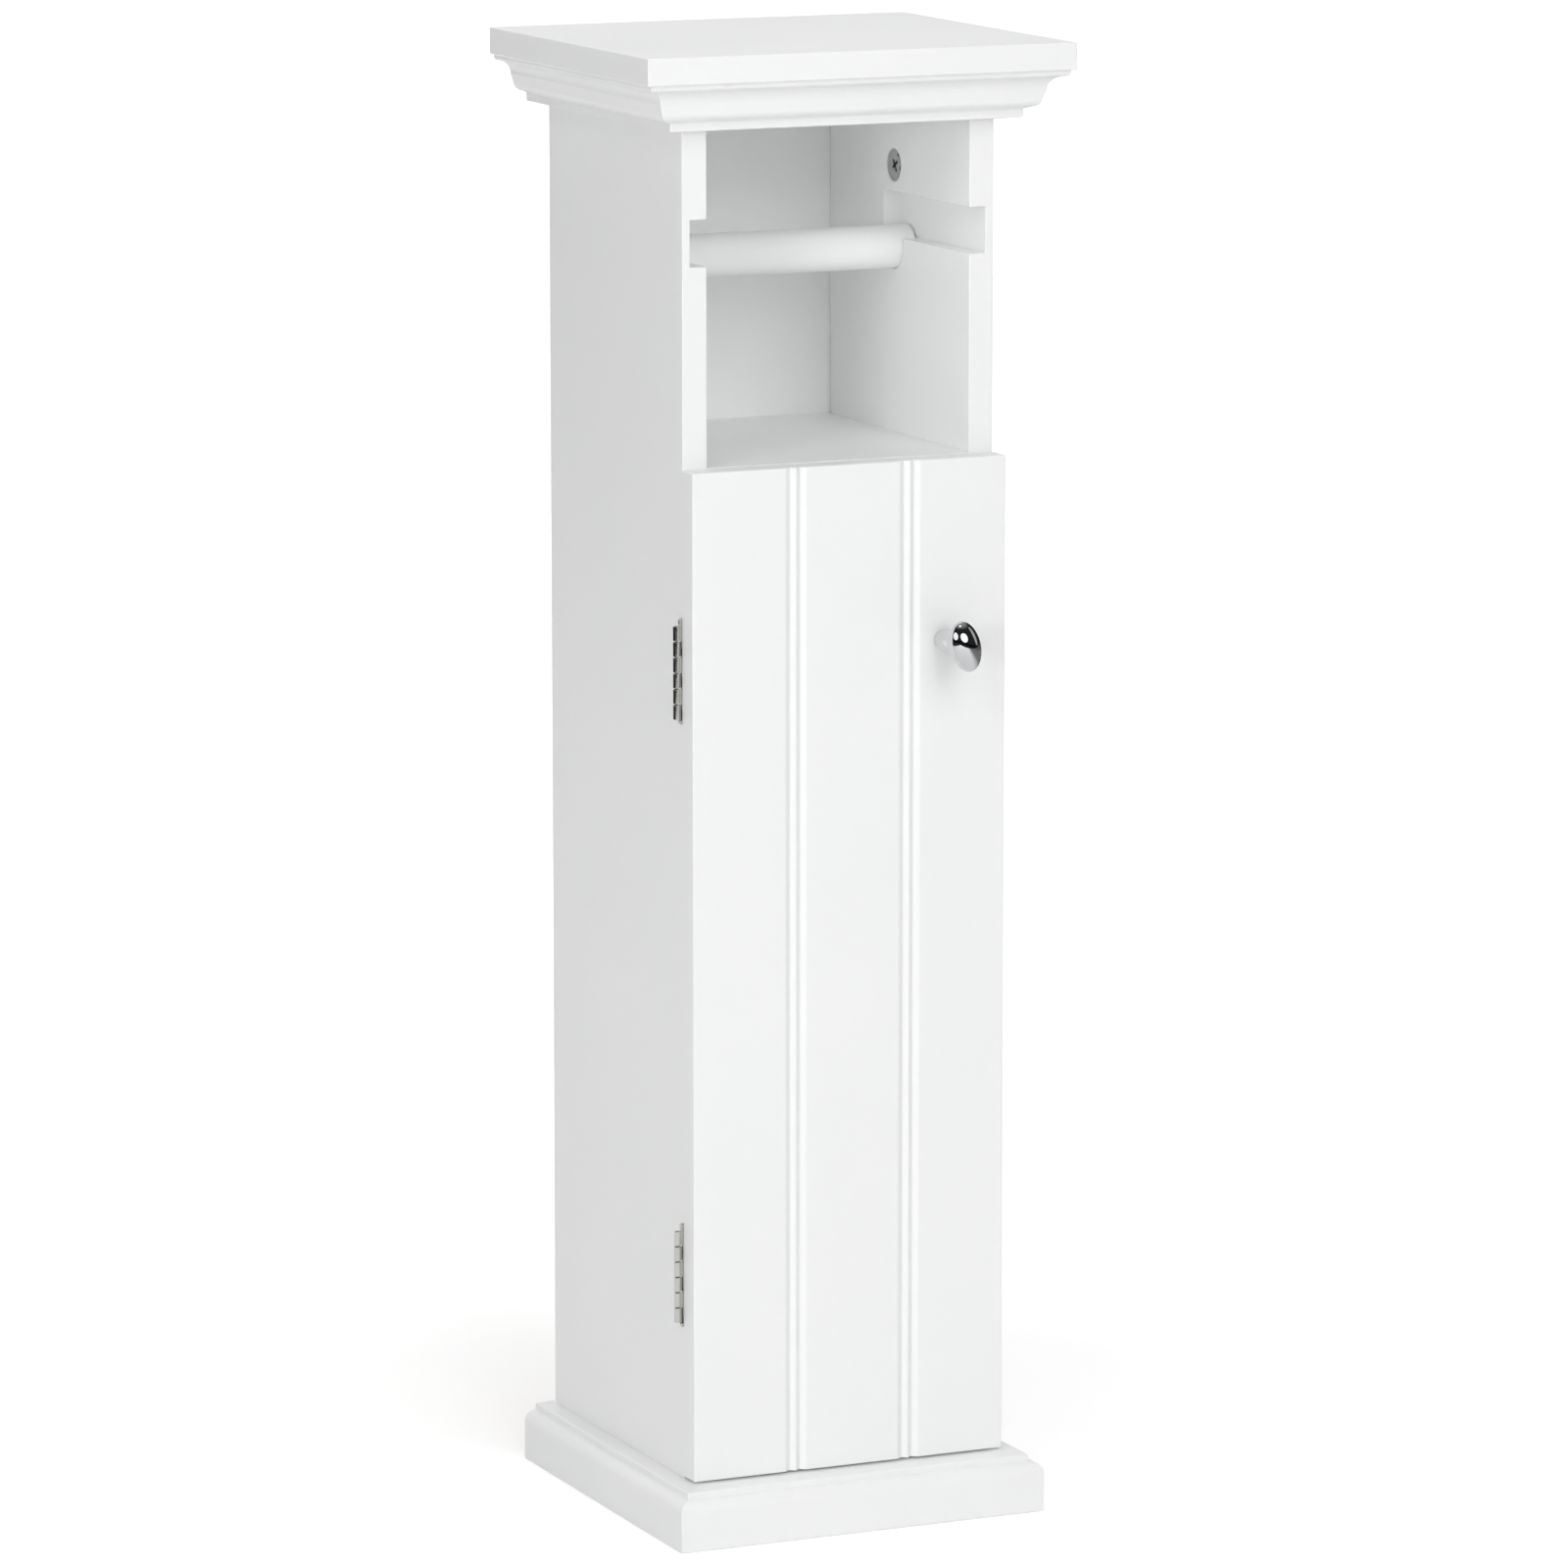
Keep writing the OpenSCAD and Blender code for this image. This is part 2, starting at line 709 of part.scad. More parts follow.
// ---------------------------------------------------------------- hinge pieces
module upper_hinge_cabinet_leaf() color(NICKEL) hinge_leaf(upper_hinge_z, 1);
module upper_hinge_door_leaf() color(NICKEL) hinge_leaf(upper_hinge_z, -1);
module lower_hinge_cabinet_leaf() color(NICKEL) hinge_leaf(lower_hinge_z, 1);
module lower_hinge_door_leaf() color(NICKEL) hinge_leaf(lower_hinge_z, -1);

module hinge_pins() {
    color(NICKEL) for (z = hinge_zs) translate([barrel_x, barrel_y, z - barrel_len / 2])
        cylinder(r = pin_r, h = barrel_len, $fn = 48);
}

module cabinet_leaf_screws() {
    color(NICKEL) for (z = hinge_zs) at_leaf_screws(z, 1)
        countersunk_screw(leaf_screw_head_d, leaf_screw_d, leaf_screw_len);
}

module door_leaf_screws() {
    color(NICKEL) for (z = hinge_zs) at_leaf_screws(z, -1)
        countersunk_screw(leaf_screw_head_d, leaf_screw_d, leaf_screw_len);
}

// ---------------------------------------------------------------- joining hardware
module cam_locks() {
    color(ZINC) {
        at_top_cams() cam_lock_at(top_cam_reach);
        for (z = [niche_board_mid_z, cupboard_board_mid_z])
            at_shelf_cams(z) cam_lock_at(shelf_cam_reach);
    }
}

module cam_bolts() {
    color(ZINC) {
        at_top_cams() cam_bolt_at(top_cam_reach);
        for (z = [niche_board_mid_z, cupboard_board_mid_z])
            at_shelf_cams(z) cam_bolt_at(shelf_cam_reach);
    }
}

module wooden_dowels() color(BARE_WOOD) at_dowels() dowel();

module cap_screws() {
    color(ZINC) at_cap_screws() countersunk_screw(cap_screw_head_d, cap_screw_d, cap_screw_len);
}

module back_panel_nails() color(ZINC) at_nails() nail();

// ---------------------------------------------------------------- catch pieces
// The magnet lies flat between two steel pole plates, in a pocket of the housing
module magnet_stack(room = 0) {
    half_w = magnet_w / 2 + room;
    half_h = magnet_h / 2 + pole_t + room;
    box([catch_x - half_w, catch_y - pole_out - past, catch_mid_z - half_h],
        [catch_x + half_w, catch_y + magnet_d + room, catch_mid_z + half_h]);
}

module catch_housing() {
    low_z = niche_floor_under - catch_h - 1.5;
    color(HOUSING) difference() {
        union() {
            box([catch_x - catch_w / 2, catch_y, low_z],
                [catch_x + catch_w / 2, catch_y + catch_d, niche_floor_under]);
            box([catch_x - catch_flange_w / 2, catch_y + 2, niche_floor_under - catch_flange_t],
                [catch_x + catch_flange_w / 2, catch_y + catch_d - 2, niche_floor_under]);
        }
        magnet_stack(lap);
        at_catch_screws() countersunk_screw(catch_screw_head_d, catch_screw_d, catch_screw_len, snug);
    }
}

module catch_magnet() {
    half_h = magnet_h / 2 - snug;
    color(FERRITE) box([catch_x - magnet_w / 2, catch_y, catch_mid_z - half_h],
                       [catch_x + magnet_w / 2, catch_y + magnet_d, catch_mid_z + half_h]);
}

module catch_pole_plates() {
    color(ZINC) for (s = [-1, 1])
        translate([catch_x, catch_y - pole_out, catch_mid_z + s * (magnet_h + pole_t) / 2])
            translate([-magnet_w / 2, 0, -pole_t / 2]) cube([magnet_w, magnet_d + pole_out, pole_t]);
}

module catch_screws() {
    color(ZINC) at_catch_screws()
        countersunk_screw(catch_screw_head_d, catch_screw_d, catch_screw_len);
}

module strike_plate() {
    color(ZINC) difference() {
        box([catch_x - strike_w / 2, door_back_y, catch_mid_z - strike_h / 2],
            [catch_x + strike_w / 2, door_back_y + strike_t, catch_mid_z + strike_h / 2]);
        at_strike_screw()
            countersunk_screw(strike_screw_head_d, strike_screw_d, strike_screw_len, snug);
    }
}

module strike_screw() {
    color(ZINC) at_strike_screw()
        countersunk_screw(strike_screw_head_d, strike_screw_d, strike_screw_len);
}

left_side_panel();
right_side_panel();
back_panel();
niche_floor();
cupboard_floor();
cap_board();
top_slab();
cornice_front();
cornice_left();
cornice_right();
plinth_front();
plinth_left();
plinth_right();
plinth_front_rail();
plinth_back_rail();
roll_bar();
door();
door_knob();
knob_screw();
upper_hinge_cabinet_leaf();
upper_hinge_door_leaf();
lower_hinge_cabinet_leaf();
lower_hinge_door_leaf();
hinge_pins();
cabinet_leaf_screws();
door_leaf_screws();
cam_locks();
cam_bolts();
wooden_dowels();
cap_screws();
back_panel_nails();
catch_housing();
catch_magnet();
catch_pole_plates();
catch_screws();
strike_plate();
strike_screw();
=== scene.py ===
# %% [markdown]
# # A slim cabinet for toilet rolls
# The real thing is a narrow, tall cabinet of fibreboard under white satin lacquer. It has a
# fluted door on two small butt hinges, an oval chrome knob, and an open niche above with a
# loose bar for one roll. The CAD model fixes every size and every joint. Blender's share is
# the look: eased edges, rolled hinge knuckles, the cast face of the cam locks, and the
# finishes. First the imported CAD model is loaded. Its nodes stay where they are, and each
# new piece takes its place from them.

import json
import math

import bpy
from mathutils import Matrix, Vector

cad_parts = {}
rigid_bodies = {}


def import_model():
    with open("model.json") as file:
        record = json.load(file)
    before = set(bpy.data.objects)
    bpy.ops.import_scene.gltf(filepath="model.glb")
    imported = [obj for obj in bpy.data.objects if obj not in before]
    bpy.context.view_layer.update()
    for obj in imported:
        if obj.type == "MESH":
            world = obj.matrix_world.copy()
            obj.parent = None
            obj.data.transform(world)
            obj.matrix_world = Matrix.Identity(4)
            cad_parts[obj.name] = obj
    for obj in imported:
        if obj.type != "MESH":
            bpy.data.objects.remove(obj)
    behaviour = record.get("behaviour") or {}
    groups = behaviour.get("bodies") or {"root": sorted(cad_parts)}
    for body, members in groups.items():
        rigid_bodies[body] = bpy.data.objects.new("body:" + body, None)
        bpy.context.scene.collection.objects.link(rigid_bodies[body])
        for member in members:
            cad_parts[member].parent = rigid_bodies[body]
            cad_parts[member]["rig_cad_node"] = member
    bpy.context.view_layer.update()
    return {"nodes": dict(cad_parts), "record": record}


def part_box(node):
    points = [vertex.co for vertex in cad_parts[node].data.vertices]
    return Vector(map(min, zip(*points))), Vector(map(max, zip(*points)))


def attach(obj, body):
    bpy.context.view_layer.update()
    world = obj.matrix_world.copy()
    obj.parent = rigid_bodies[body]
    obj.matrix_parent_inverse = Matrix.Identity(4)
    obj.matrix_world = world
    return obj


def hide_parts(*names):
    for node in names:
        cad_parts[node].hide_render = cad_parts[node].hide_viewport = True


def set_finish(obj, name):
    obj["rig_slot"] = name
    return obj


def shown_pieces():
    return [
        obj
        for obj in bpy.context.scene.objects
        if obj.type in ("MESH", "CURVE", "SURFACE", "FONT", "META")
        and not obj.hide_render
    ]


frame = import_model()
MM = 0.001

# %% [markdown]
# ## Helpers for working as by hand
# An operator acts on whatever is selected, and the loader leaves the CAD nodes selected. So
# everything is deselected before a primitive is added. A box is added at its own size and
# place, and the transform is applied, so that the object sits at the origin and its place
# is in its mesh, like a CAD node's. Blender counts in metres and a joiner in millimetres,
# so the measures below are in millimetres and are turned where they are used.

# %% A box between two corners
def in_mm(*values):
    """Lengths given in millimetres, as Blender's metres."""
    return [value * MM for value in values]


def only(piece):
    """Selects this one piece and makes it the active one."""
    bpy.ops.object.select_all(action="DESELECT")
    piece.select_set(True)
    bpy.context.view_layer.objects.active = piece


def named(name):
    """Names the primitive that was just added, and puts its place into its mesh."""
    piece = bpy.context.active_object
    piece.name = piece.data.name = name
    bpy.ops.object.transform_apply(location=True, rotation=True, scale=True)
    return piece


def box_between(name, low, high):
    """A box between two opposite corners, in metres."""
    low, high = Vector(low), Vector(high)
    bpy.ops.object.select_all(action="DESELECT")
    bpy.ops.mesh.primitive_cube_add(size=1, location=(low + high) / 2, scale=high - low)
    return named(name)


# %% [markdown]
# Faces and edges are picked in code, by where their middle is and which way they look. The
# pick is made in object mode and edit mode takes it over. Modifiers are added, set and
# applied in one go.

# %% Pick parts of a mesh, and apply a modifier
def pick(piece, kind, test):
    """Goes into edit mode with those VERT, EDGE or FACE parts selected that pass the test."""
    only(piece)
    bpy.ops.object.mode_set(mode="EDIT")
    bpy.ops.mesh.select_mode(type=kind)
    bpy.ops.mesh.select_all(action="DESELECT")
    bpy.ops.object.mode_set(mode="OBJECT")
    mesh = piece.data
    if kind == "VERT":
        for v in mesh.vertices:
            v.select = bool(test(v.co, v.normal))
    elif kind == "EDGE":
        for e in mesh.edges:
            a, b = (mesh.vertices[i].co for i in e.vertices)
            e.select = bool(test((a + b) / 2, b - a))
    else:
        for f in mesh.polygons:
            f.select = bool(test(f.center, f.normal))
    bpy.ops.object.mode_set(mode="EDIT")


def leave():
    """Back to object mode."""
    bpy.ops.object.mode_set(mode="OBJECT")


def modify(piece, kind, **settings):
    """Adds a modifier, sets it and applies it."""
    only(piece)
    bpy.ops.object.modifier_add(type=kind)
    modifier = piece.modifiers[-1]
    for key, value in settings.items():
        setattr(modifier, key, value)
    bpy.ops.object.modifier_apply(modifier=modifier.name)


# %% [markdown]
# A lacquered board never has a razor edge: the arris is sanded before painting, and the
# lacquer rounds it further. It is this narrow rounding that catches a line of light. The
# Bevel modifier works on every edge that is sharper than a limit. Weighted normals then
# keep the broad faces flat and let only the rounding shade smoothly.

# %% Ease the edges of a piece
def smooth_faces(piece, angle=50):
    """Smooth shading over gentle edges, with the broad faces kept flat."""
    only(piece)
    bpy.ops.object.shade_smooth_by_angle(angle=math.radians(angle))
    modify(piece, "WEIGHTED_NORMAL", keep_sharp=True, weight=80)


def ease(piece, width, segments=3, limit=30):
    """Rounds the arrises of a piece. width is in millimetres."""
    modify(piece, "BEVEL", width=width * MM, segments=segments, limit_method="ANGLE",
           angle_limit=math.radians(limit), use_clamp_overlap=False)
    return piece


def cut(piece, *cutters):
    """Takes each cutter's space out of the piece, and removes the cutter."""
    for cutter in cutters:
        modify(piece, "BOOLEAN", object=cutter, operation="DIFFERENCE", solver="EXACT")
        bpy.data.objects.remove(cutter)
    return piece


def finish_piece(piece, body, nodes, slot, angle=50):
    """Shades the piece, ties it to its body and finish, and hides the CAD nodes it replaces."""
    smooth_faces(piece, angle)
    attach(piece, body)
    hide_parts(*nodes)
    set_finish(piece, slot)
    low, high = (Vector(c) / MM for c in (piece.bound_box[0], piece.bound_box[6]))
    print(f"{piece.name}: {len(piece.data.polygons)} faces, "
          f"{high.x - low.x:.1f} x {high.y - low.y:.1f} x {high.z - low.z:.1f} mm")


# %% [markdown]
# Long pieces of one section, such as mouldings, are drawn as their outline first: a single
# vertex is extruded from point to point, the ring is closed and filled, and the face is
# extruded to the length. A curve with a bevel profile could do it too, but this gives plain
# faces that bevel and bisect well. The same helper makes the cutter for the bar's slot.

# %% A prism from a drawn outline
def outline_prism(name, points, along):
    """A closed outline drawn point by point, filled, and extruded along a vector."""
    points = [Vector(p) for p in points]
    bpy.ops.object.select_all(action="DESELECT")
    bpy.ops.mesh.primitive_plane_add(size=MM, location=points[0])
    piece = named(name)
    bpy.ops.object.mode_set(mode="EDIT")
    bpy.ops.mesh.select_mode(type="VERT")
    bpy.ops.mesh.select_all(action="SELECT")
    bpy.ops.mesh.merge(type="CENTER")
    for before, point in zip(points, points[1:]):
        bpy.ops.mesh.extrude_region_move(TRANSFORM_OT_translate={"value": point - before})
    bpy.ops.mesh.select_all(action="SELECT")
    bpy.ops.mesh.edge_face_add()
    bpy.ops.mesh.select_all(action="SELECT")
    bpy.ops.mesh.extrude_region_move(TRANSFORM_OT_translate={"value": Vector(along)})
    bpy.ops.mesh.select_all(action="SELECT")
    bpy.ops.mesh.normals_make_consistent(inside=False)
    leave()
    return piece


def arc(centre, radius, start, end, steps):
    """Points on an arc of a flat outline, angles in degrees."""
    turns = [math.radians(start + (end - start) * i / steps) for i in range(steps + 1)]
    return [(centre[0] + radius * math.cos(t), centre[1] + radius * math.sin(t)) for t in turns]


# %% [markdown]
# ## The two side panels
# Each is 12 mm board with a slot routed into its inner face. The bar's end comes in through
# the slot from the front and drops into a round-bottomed pocket. The slot could be built
# up face by face, but a boolean cut is the closest thing to a router, so its outline is
# drawn, extruded, and taken out of the board. So is the narrow groove along the rear inner
# arris, which shows as a dark line in the niche's corner. The arrises are eased after that,
# slot and all. The bores for the cam locks and the seats of the hinge leaves come last,
# because they stay crisp on the real board.

# %% Measures of the slot, in millimetres
SLOT_LOW, SLOT_HIGH, SLOT_DEEP = 577.8, 598.8, 8.0
POCKET_Y, POCKET_R, POCKET_LOW = 24.2, 10.5, 562.9
SLOT_CORNER_R = 6.0
FRONT_Y, BACK_Y, WALL_Y = -57.0, 96.0, 99.0
INNER_X, SIDE_X, DOOR_X = 64.3, 76.3, 77.0
PAST = 1.0  # how far a cutter reaches past the surface it cuts


def slot_cutter(side):
    """The space of the routed slot on side 1 (right) or -1 (left)."""
    far = POCKET_Y + POCKET_R
    outline = [(FRONT_Y - PAST, SLOT_LOW), (POCKET_Y - POCKET_R, SLOT_LOW)]
    outline += arc((POCKET_Y, POCKET_LOW + POCKET_R), POCKET_R, 180, 360, 24)
    outline += arc((far - SLOT_CORNER_R, SLOT_HIGH - SLOT_CORNER_R), SLOT_CORNER_R, 0, 90, 8)
    outline += [(FRONT_Y - PAST, SLOT_HIGH)]
    start = side * (INNER_X - PAST) * MM
    return outline_prism("slot_cutter", [(start, y * MM, z * MM) for y, z in outline],
                         (side * (SLOT_DEEP + PAST) * MM, 0, 0))


# %% [markdown]
# A bore is a plain cylinder standing in the right direction, and a hinge seat is a shallow
# box. Both are only ever cutters here.

# %% Cutters for bores and hinge seats
AIM = {"x": (0, math.pi / 2, 0), "y": (math.pi / 2, 0, 0), "z": (0, 0, 0)}


def rod(name, middle, radius, length, axis, vertices=48):
    """A cylinder about its middle, in millimetres, along the axis x, y or z."""
    bpy.ops.object.select_all(action="DESELECT")
    bpy.ops.mesh.primitive_cylinder_add(
        vertices=vertices, radius=radius * MM, depth=length * MM,
        location=Vector(middle) * MM, rotation=AIM[axis])
    return named(name)


TOP_CAM_Y, TOP_CAM_Z = 23.6, 610.4
CAM_BORE_R, CAM_BORE_LEN = 7.6, 19
HINGE_ZS = (120.6, 396.8)
LEAF_LEN, LEAF_RISE, LEAF_T = 48.0, 0.6, 0.6
LEAF_IN_X, LEAF_NOTCH_X, LEAF_EDGE_X = -66.6, -77.2, -78.4
BARREL_X, BARREL_Y, BARREL_R, KNUCKLE_LEN = -79.6, -57.35, 1.5, 7.1
SEAT_FROM, SEAT_PLAY = 0.02, 0.1  # where the seat starts, and the room round the leaf in it


def seat_cutter(z, towards):
    """The shallow seat of a hinge leaf: towards is 1 for the panel and -1 for the door."""
    ys = sorted((BARREL_Y + towards * SEAT_FROM, BARREL_Y + towards * (LEAF_T + SEAT_PLAY)))
    middle = z + LEAF_RISE
    return box_between("seat_cutter",
                       in_mm(-DOOR_X - PAST, ys[0], middle - LEAF_LEN / 2 - SEAT_PLAY),
                       in_mm(LEAF_IN_X + SEAT_PLAY, ys[1], middle + LEAF_LEN / 2 + SEAT_PLAY))


# %% Build both side panels
GROOVE_W, GROOVE_DEEP = 0.9, 3.6
BOARD_ARRIS = 0.5
for side, node in ((-1, "left_side_panel"), (1, "right_side_panel")):
    panel = box_between(node + "_board", *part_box(node))
    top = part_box(node)[1].z / MM
    xs = sorted((side * (INNER_X - PAST), side * (INNER_X + GROOVE_W)))
    cut(panel, slot_cutter(side),
        box_between("groove", in_mm(xs[0], BACK_Y - GROOVE_DEEP, -PAST),
                    in_mm(xs[1], BACK_Y + PAST, top + PAST)))
    ease(panel, BOARD_ARRIS)
    cut(panel, rod("cam_bore", (side * INNER_X, TOP_CAM_Y, TOP_CAM_Z),
                   CAM_BORE_R, CAM_BORE_LEN, "x"))
    if side < 0:
        cut(panel, *[seat_cutter(z, 1) for z in HINGE_ZS])
    finish_piece(panel, "cabinet", [node], "white_paint")

# %% [markdown]
# ## Shelf boards, cap board and top slab
# These are plain boards, and a box with eased arrises is all that such a board is. The two
# shelf boards are held by cam locks from below, so four bores go into the underside of
# each. The top slab's lower arris is rounded with a router, which lets the cornice run into
# it softly. The Bevel modifier would round every edge alike, so the edges round the foot
# are picked and bevelled by hand first.

# %% Boards that lie flat
SHELF_CAM_X, SHELF_CAM_YS = 41.0, (-22.0, 61.0)
INNER_ARRIS, SLAB_FOOT_ROUND = 0.4, 1.0
for node in ("niche_floor", "cupboard_floor"):
    low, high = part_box(node)
    board = ease(box_between(node + "_board", low, high), INNER_ARRIS)
    for x in (-SHELF_CAM_X, SHELF_CAM_X):
        for y in SHELF_CAM_YS:
            cut(board, rod("cam_bore", (x, y, low.z / MM), CAM_BORE_R, CAM_BORE_LEN, "z"))
    finish_piece(board, "cabinet", [node], "white_paint")
for node in ("cap_board", "plinth_front_rail", "plinth_back_rail"):
    board = ease(box_between(node + "_board", *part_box(node)), INNER_ARRIS)
    finish_piece(board, "cabinet", [node], "white_paint")
slab = box_between("top_slab_board", *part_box("top_slab"))
slab_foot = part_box("top_slab")[0].z
pick(slab, "EDGE", lambda middle, along: abs(middle.z - slab_foot) < MM / 10)
bpy.ops.mesh.bevel(offset=SLAB_FOOT_ROUND * MM, segments=4, affect="EDGES")
leave()
finish_piece(ease(slab, BOARD_ARRIS, limit=40), "cabinet", ["top_slab"], "white_paint")

# %% [markdown]
# ## Cornice and plinth mouldings
# A moulding is run through a shaper in long lengths, cut at 45 degrees and glued round the
# carcass. The section could be swept round the corners in one go, but lengths that are cut
# and meet leave the fine mitre line of the real thing. So the steps are the joiner's: draw
# the section, extrude the length, ease its sharp lines, and cut the mitres with Bisect. The
# cornice has a small fillet at its foot, a nose, a cove and a thin lip under the slab. The
# plinth has an upright face, a quarter round and a small step.

# %% The two sections, as distance out from the carcass and height
SLAB_Z, CORNICE_Z, CORNICE_OUT = 661.0, 638.0, 25.8
COVE_OUT, FOOT_OUT = CORNICE_OUT - 1.8, 9.9
cornice_section = (
    [(0, CORNICE_Z), (FOOT_OUT, CORNICE_Z + 1.2), (FOOT_OUT, CORNICE_Z + 5.1)]  # fillet
    + arc((11.9, CORNICE_Z + 10.6), 4.6, -85, -5, 12)  # nose
    + arc((COVE_OUT, SLAB_Z - 9.1), 6.3, 180, 92, 14)  # cove
    + [(CORNICE_OUT - 0.7, SLAB_Z - 2.5), (CORNICE_OUT, SLAB_Z - 1.6)]  # lip
    + [(CORNICE_OUT, SLAB_Z), (0, SLAB_Z)]
)
PLINTH_H, PLINTH_OUT, RAIL_D, ROUND_R, STEP_H = 26.4, 14.4, 15.4, 5.5, 2.8
STEP_OUT, STEP_Z, STEP_R = PLINTH_OUT - ROUND_R, PLINTH_H - 0.4, 0.8
plinth_section = (
    [(0, 0), (PLINTH_OUT, 0)]
    + arc((STEP_OUT, STEP_Z - STEP_H - ROUND_R), ROUND_R, 0, 90, 12)  # quarter round
    + arc((STEP_OUT - STEP_R, STEP_Z - STEP_R), STEP_R, 0, 90, 5)  # step
    + [(0, PLINTH_H)]
)
print("cornice section:", len(cornice_section), "points; plinth section:", len(plinth_section))


# %% Run the lengths and cut the mitres
MOULDING_ARRIS = 0.35


def mitre(piece, corner, away):
    """Cuts the piece along an upright plane through the corner and drops the far side."""
    pick(piece, "FACE", lambda middle, normal: True)
    bpy.ops.mesh.bisect(plane_co=corner, plane_no=away, use_fill=True, clear_outer=True)
    leave()


def run_moulding(name, section, back_y, out):
    """The front, left and right lengths of one moulding round the carcass."""
    reach = SIDE_X + out
    front = outline_prism(name + "_front_length",
                          [(-reach * MM, (back_y - o) * MM, z * MM) for o, z in section],
                          (2 * reach * MM, 0, 0))
    ease(front, MOULDING_ARRIS, segments=2, limit=35)
    for side in (-1, 1):
        mitre(front, (side * SIDE_X * MM, back_y * MM, 0), (side, 1, 0))
    finish_piece(front, "cabinet", [name + "_front"], "white_paint", angle=35)
    for side, word in ((-1, "left"), (1, "right")):
        length = outline_prism(
            f"{name}_{word}_length",
            [(side * (SIDE_X + o) * MM, WALL_Y * MM, z * MM) for o, z in section],
            (0, (back_y - out - WALL_Y) * MM, 0))
        ease(length, MOULDING_ARRIS, segments=2, limit=35)
        mitre(length, (side * SIDE_X * MM, back_y * MM, 0), (-side, -1, 0))
        finish_piece(length, "cabinet", [f"{name}_{word}"], "white_paint", angle=35)


run_moulding("cornice", cornice_section, FRONT_Y, CORNICE_OUT)
run_moulding("plinth", plinth_section, FRONT_Y - RAIL_D, PLINTH_OUT)

# %% [markdown]
# ## The door
# One board with two pairs of V-shaped flutes, cut side by side with a pointed router bit.
# They could be boolean cuts, but a V needs no more than lines that are pushed in: the box
# is sliced with Bisect where the flutes' lines run, and the line in the middle of each
# flute goes 1.9 mm into the board. One bevel then eases arrises and flutes alike, as the
# lacquer does. The seats for the hinge leaves are cut afterwards.

# %% Slice the door and push the flutes in
FLUTE_W, FLUTE_DEEP, FLUTE_APART, FLUTE_SHIFT = 4.9, 1.9, 56.0, 1.5
door = box_between("fluted_door_board", *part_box("door"))
face_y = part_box("door")[0].y
valleys = []
for pair in (-1, 1):
    middle = FLUTE_SHIFT + pair * FLUTE_APART / 2
    for step in range(-2, 3):
        x = (middle + step * FLUTE_W / 2) * MM
        pick(door, "FACE", lambda place, normal: True)
        bpy.ops.mesh.bisect(plane_co=(x, 0, 0), plane_no=(1, 0, 0))
        leave()
        if step % 2:
            valleys.append(x)
pick(door, "VERT", lambda place, normal: place.y < face_y + MM / 2
     and any(abs(place.x - x) < MM / 100 for x in valleys))
bpy.ops.transform.translate(value=(0, FLUTE_DEEP * MM, 0))
leave()
print("flute valleys at x =", [round(x / MM, 2) for x in valleys], "mm")

# %% Ease the door and let in the hinge leaves
ease(door, BOARD_ARRIS, limit=25)
cut(door, *[seat_cutter(z, -1) for z in HINGE_ZS])
finish_piece(door, "door", ["door"], "white_paint", angle=45)

# %% [markdown]
# ## The roll bar
# A turned and lacquered dowel, 20 mm thick, with its ends broken by a small round. A lathe
# makes a cylinder, so a cylinder lying along X is the natural start, with many sides
# because its highlight runs the whole length. Only the rims of its two ends are bevelled.

# %% Turn the roll bar
BAR_END_ROUND = 1.0
low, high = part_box("roll_bar")
bar_middle = (low + high) / 2
bar = rod("lacquered_roll_bar", bar_middle / MM, (high.z - low.z) / 2 / MM,
          (high.x - low.x) / MM, "x", vertices=96)
pick(bar, "EDGE", lambda middle, along: abs(along.x) < MM / 100)
bpy.ops.mesh.bevel(offset=BAR_END_ROUND * MM, offset_type="OFFSET", segments=4, affect="EDGES")
leave()
finish_piece(bar, "bar", ["roll_bar"], "white_paint", angle=40)

# %% [markdown]
# ## The knob
# A die-cast knob, polished and chromed: a round foot, and a stem that flares into an
# oval head with a domed front. A knob that is round all the way could be spun from its
# outline, but this head is oval. It is one skin, so it is drawn as one skin: a circle at
# the foot is extruded towards the front ring by ring, and each ring is resized to its own
# width and height. The last ring closes in a pole. The whole knob is turned 15 degrees
# about its axis, because that is how it is screwed on, and subdivision rounds it all.

# %% Rings of the knob: distance from the door, half width, half height, in millimetres
HEAD_HALF_W, HEAD_HALF_H, HEAD_HALF_D, KNOB_OUT = 7.3, 12.0, 5.6, 29.3
head_middle = KNOB_OUT - HEAD_HALF_D
knob_rings = [
    (0.0, 4.3, 4.3), (0.3, 4.6, 4.6), (0.9, 4.65, 4.65), (2.0, 4.75, 4.75), (4.6, 5.4, 5.4),
    (7.5, 5.9, 5.9), (10.5, 6.0, 6.05), (13.5, 6.1, 6.2), (16.0, 6.2, 6.6), (17.8, 6.25, 7.2),
    (19.4, 6.35, 8.5), (20.8, 6.65, 9.9), (22.2, 7.05, 11.2),
]
for turn in range(0, 90, 9):
    t = math.radians(turn)
    knob_rings.append((head_middle + HEAD_HALF_D * math.sin(t),
                       HEAD_HALF_W * math.cos(t), HEAD_HALF_H * math.cos(t)))
print("knob rings:", len(knob_rings))

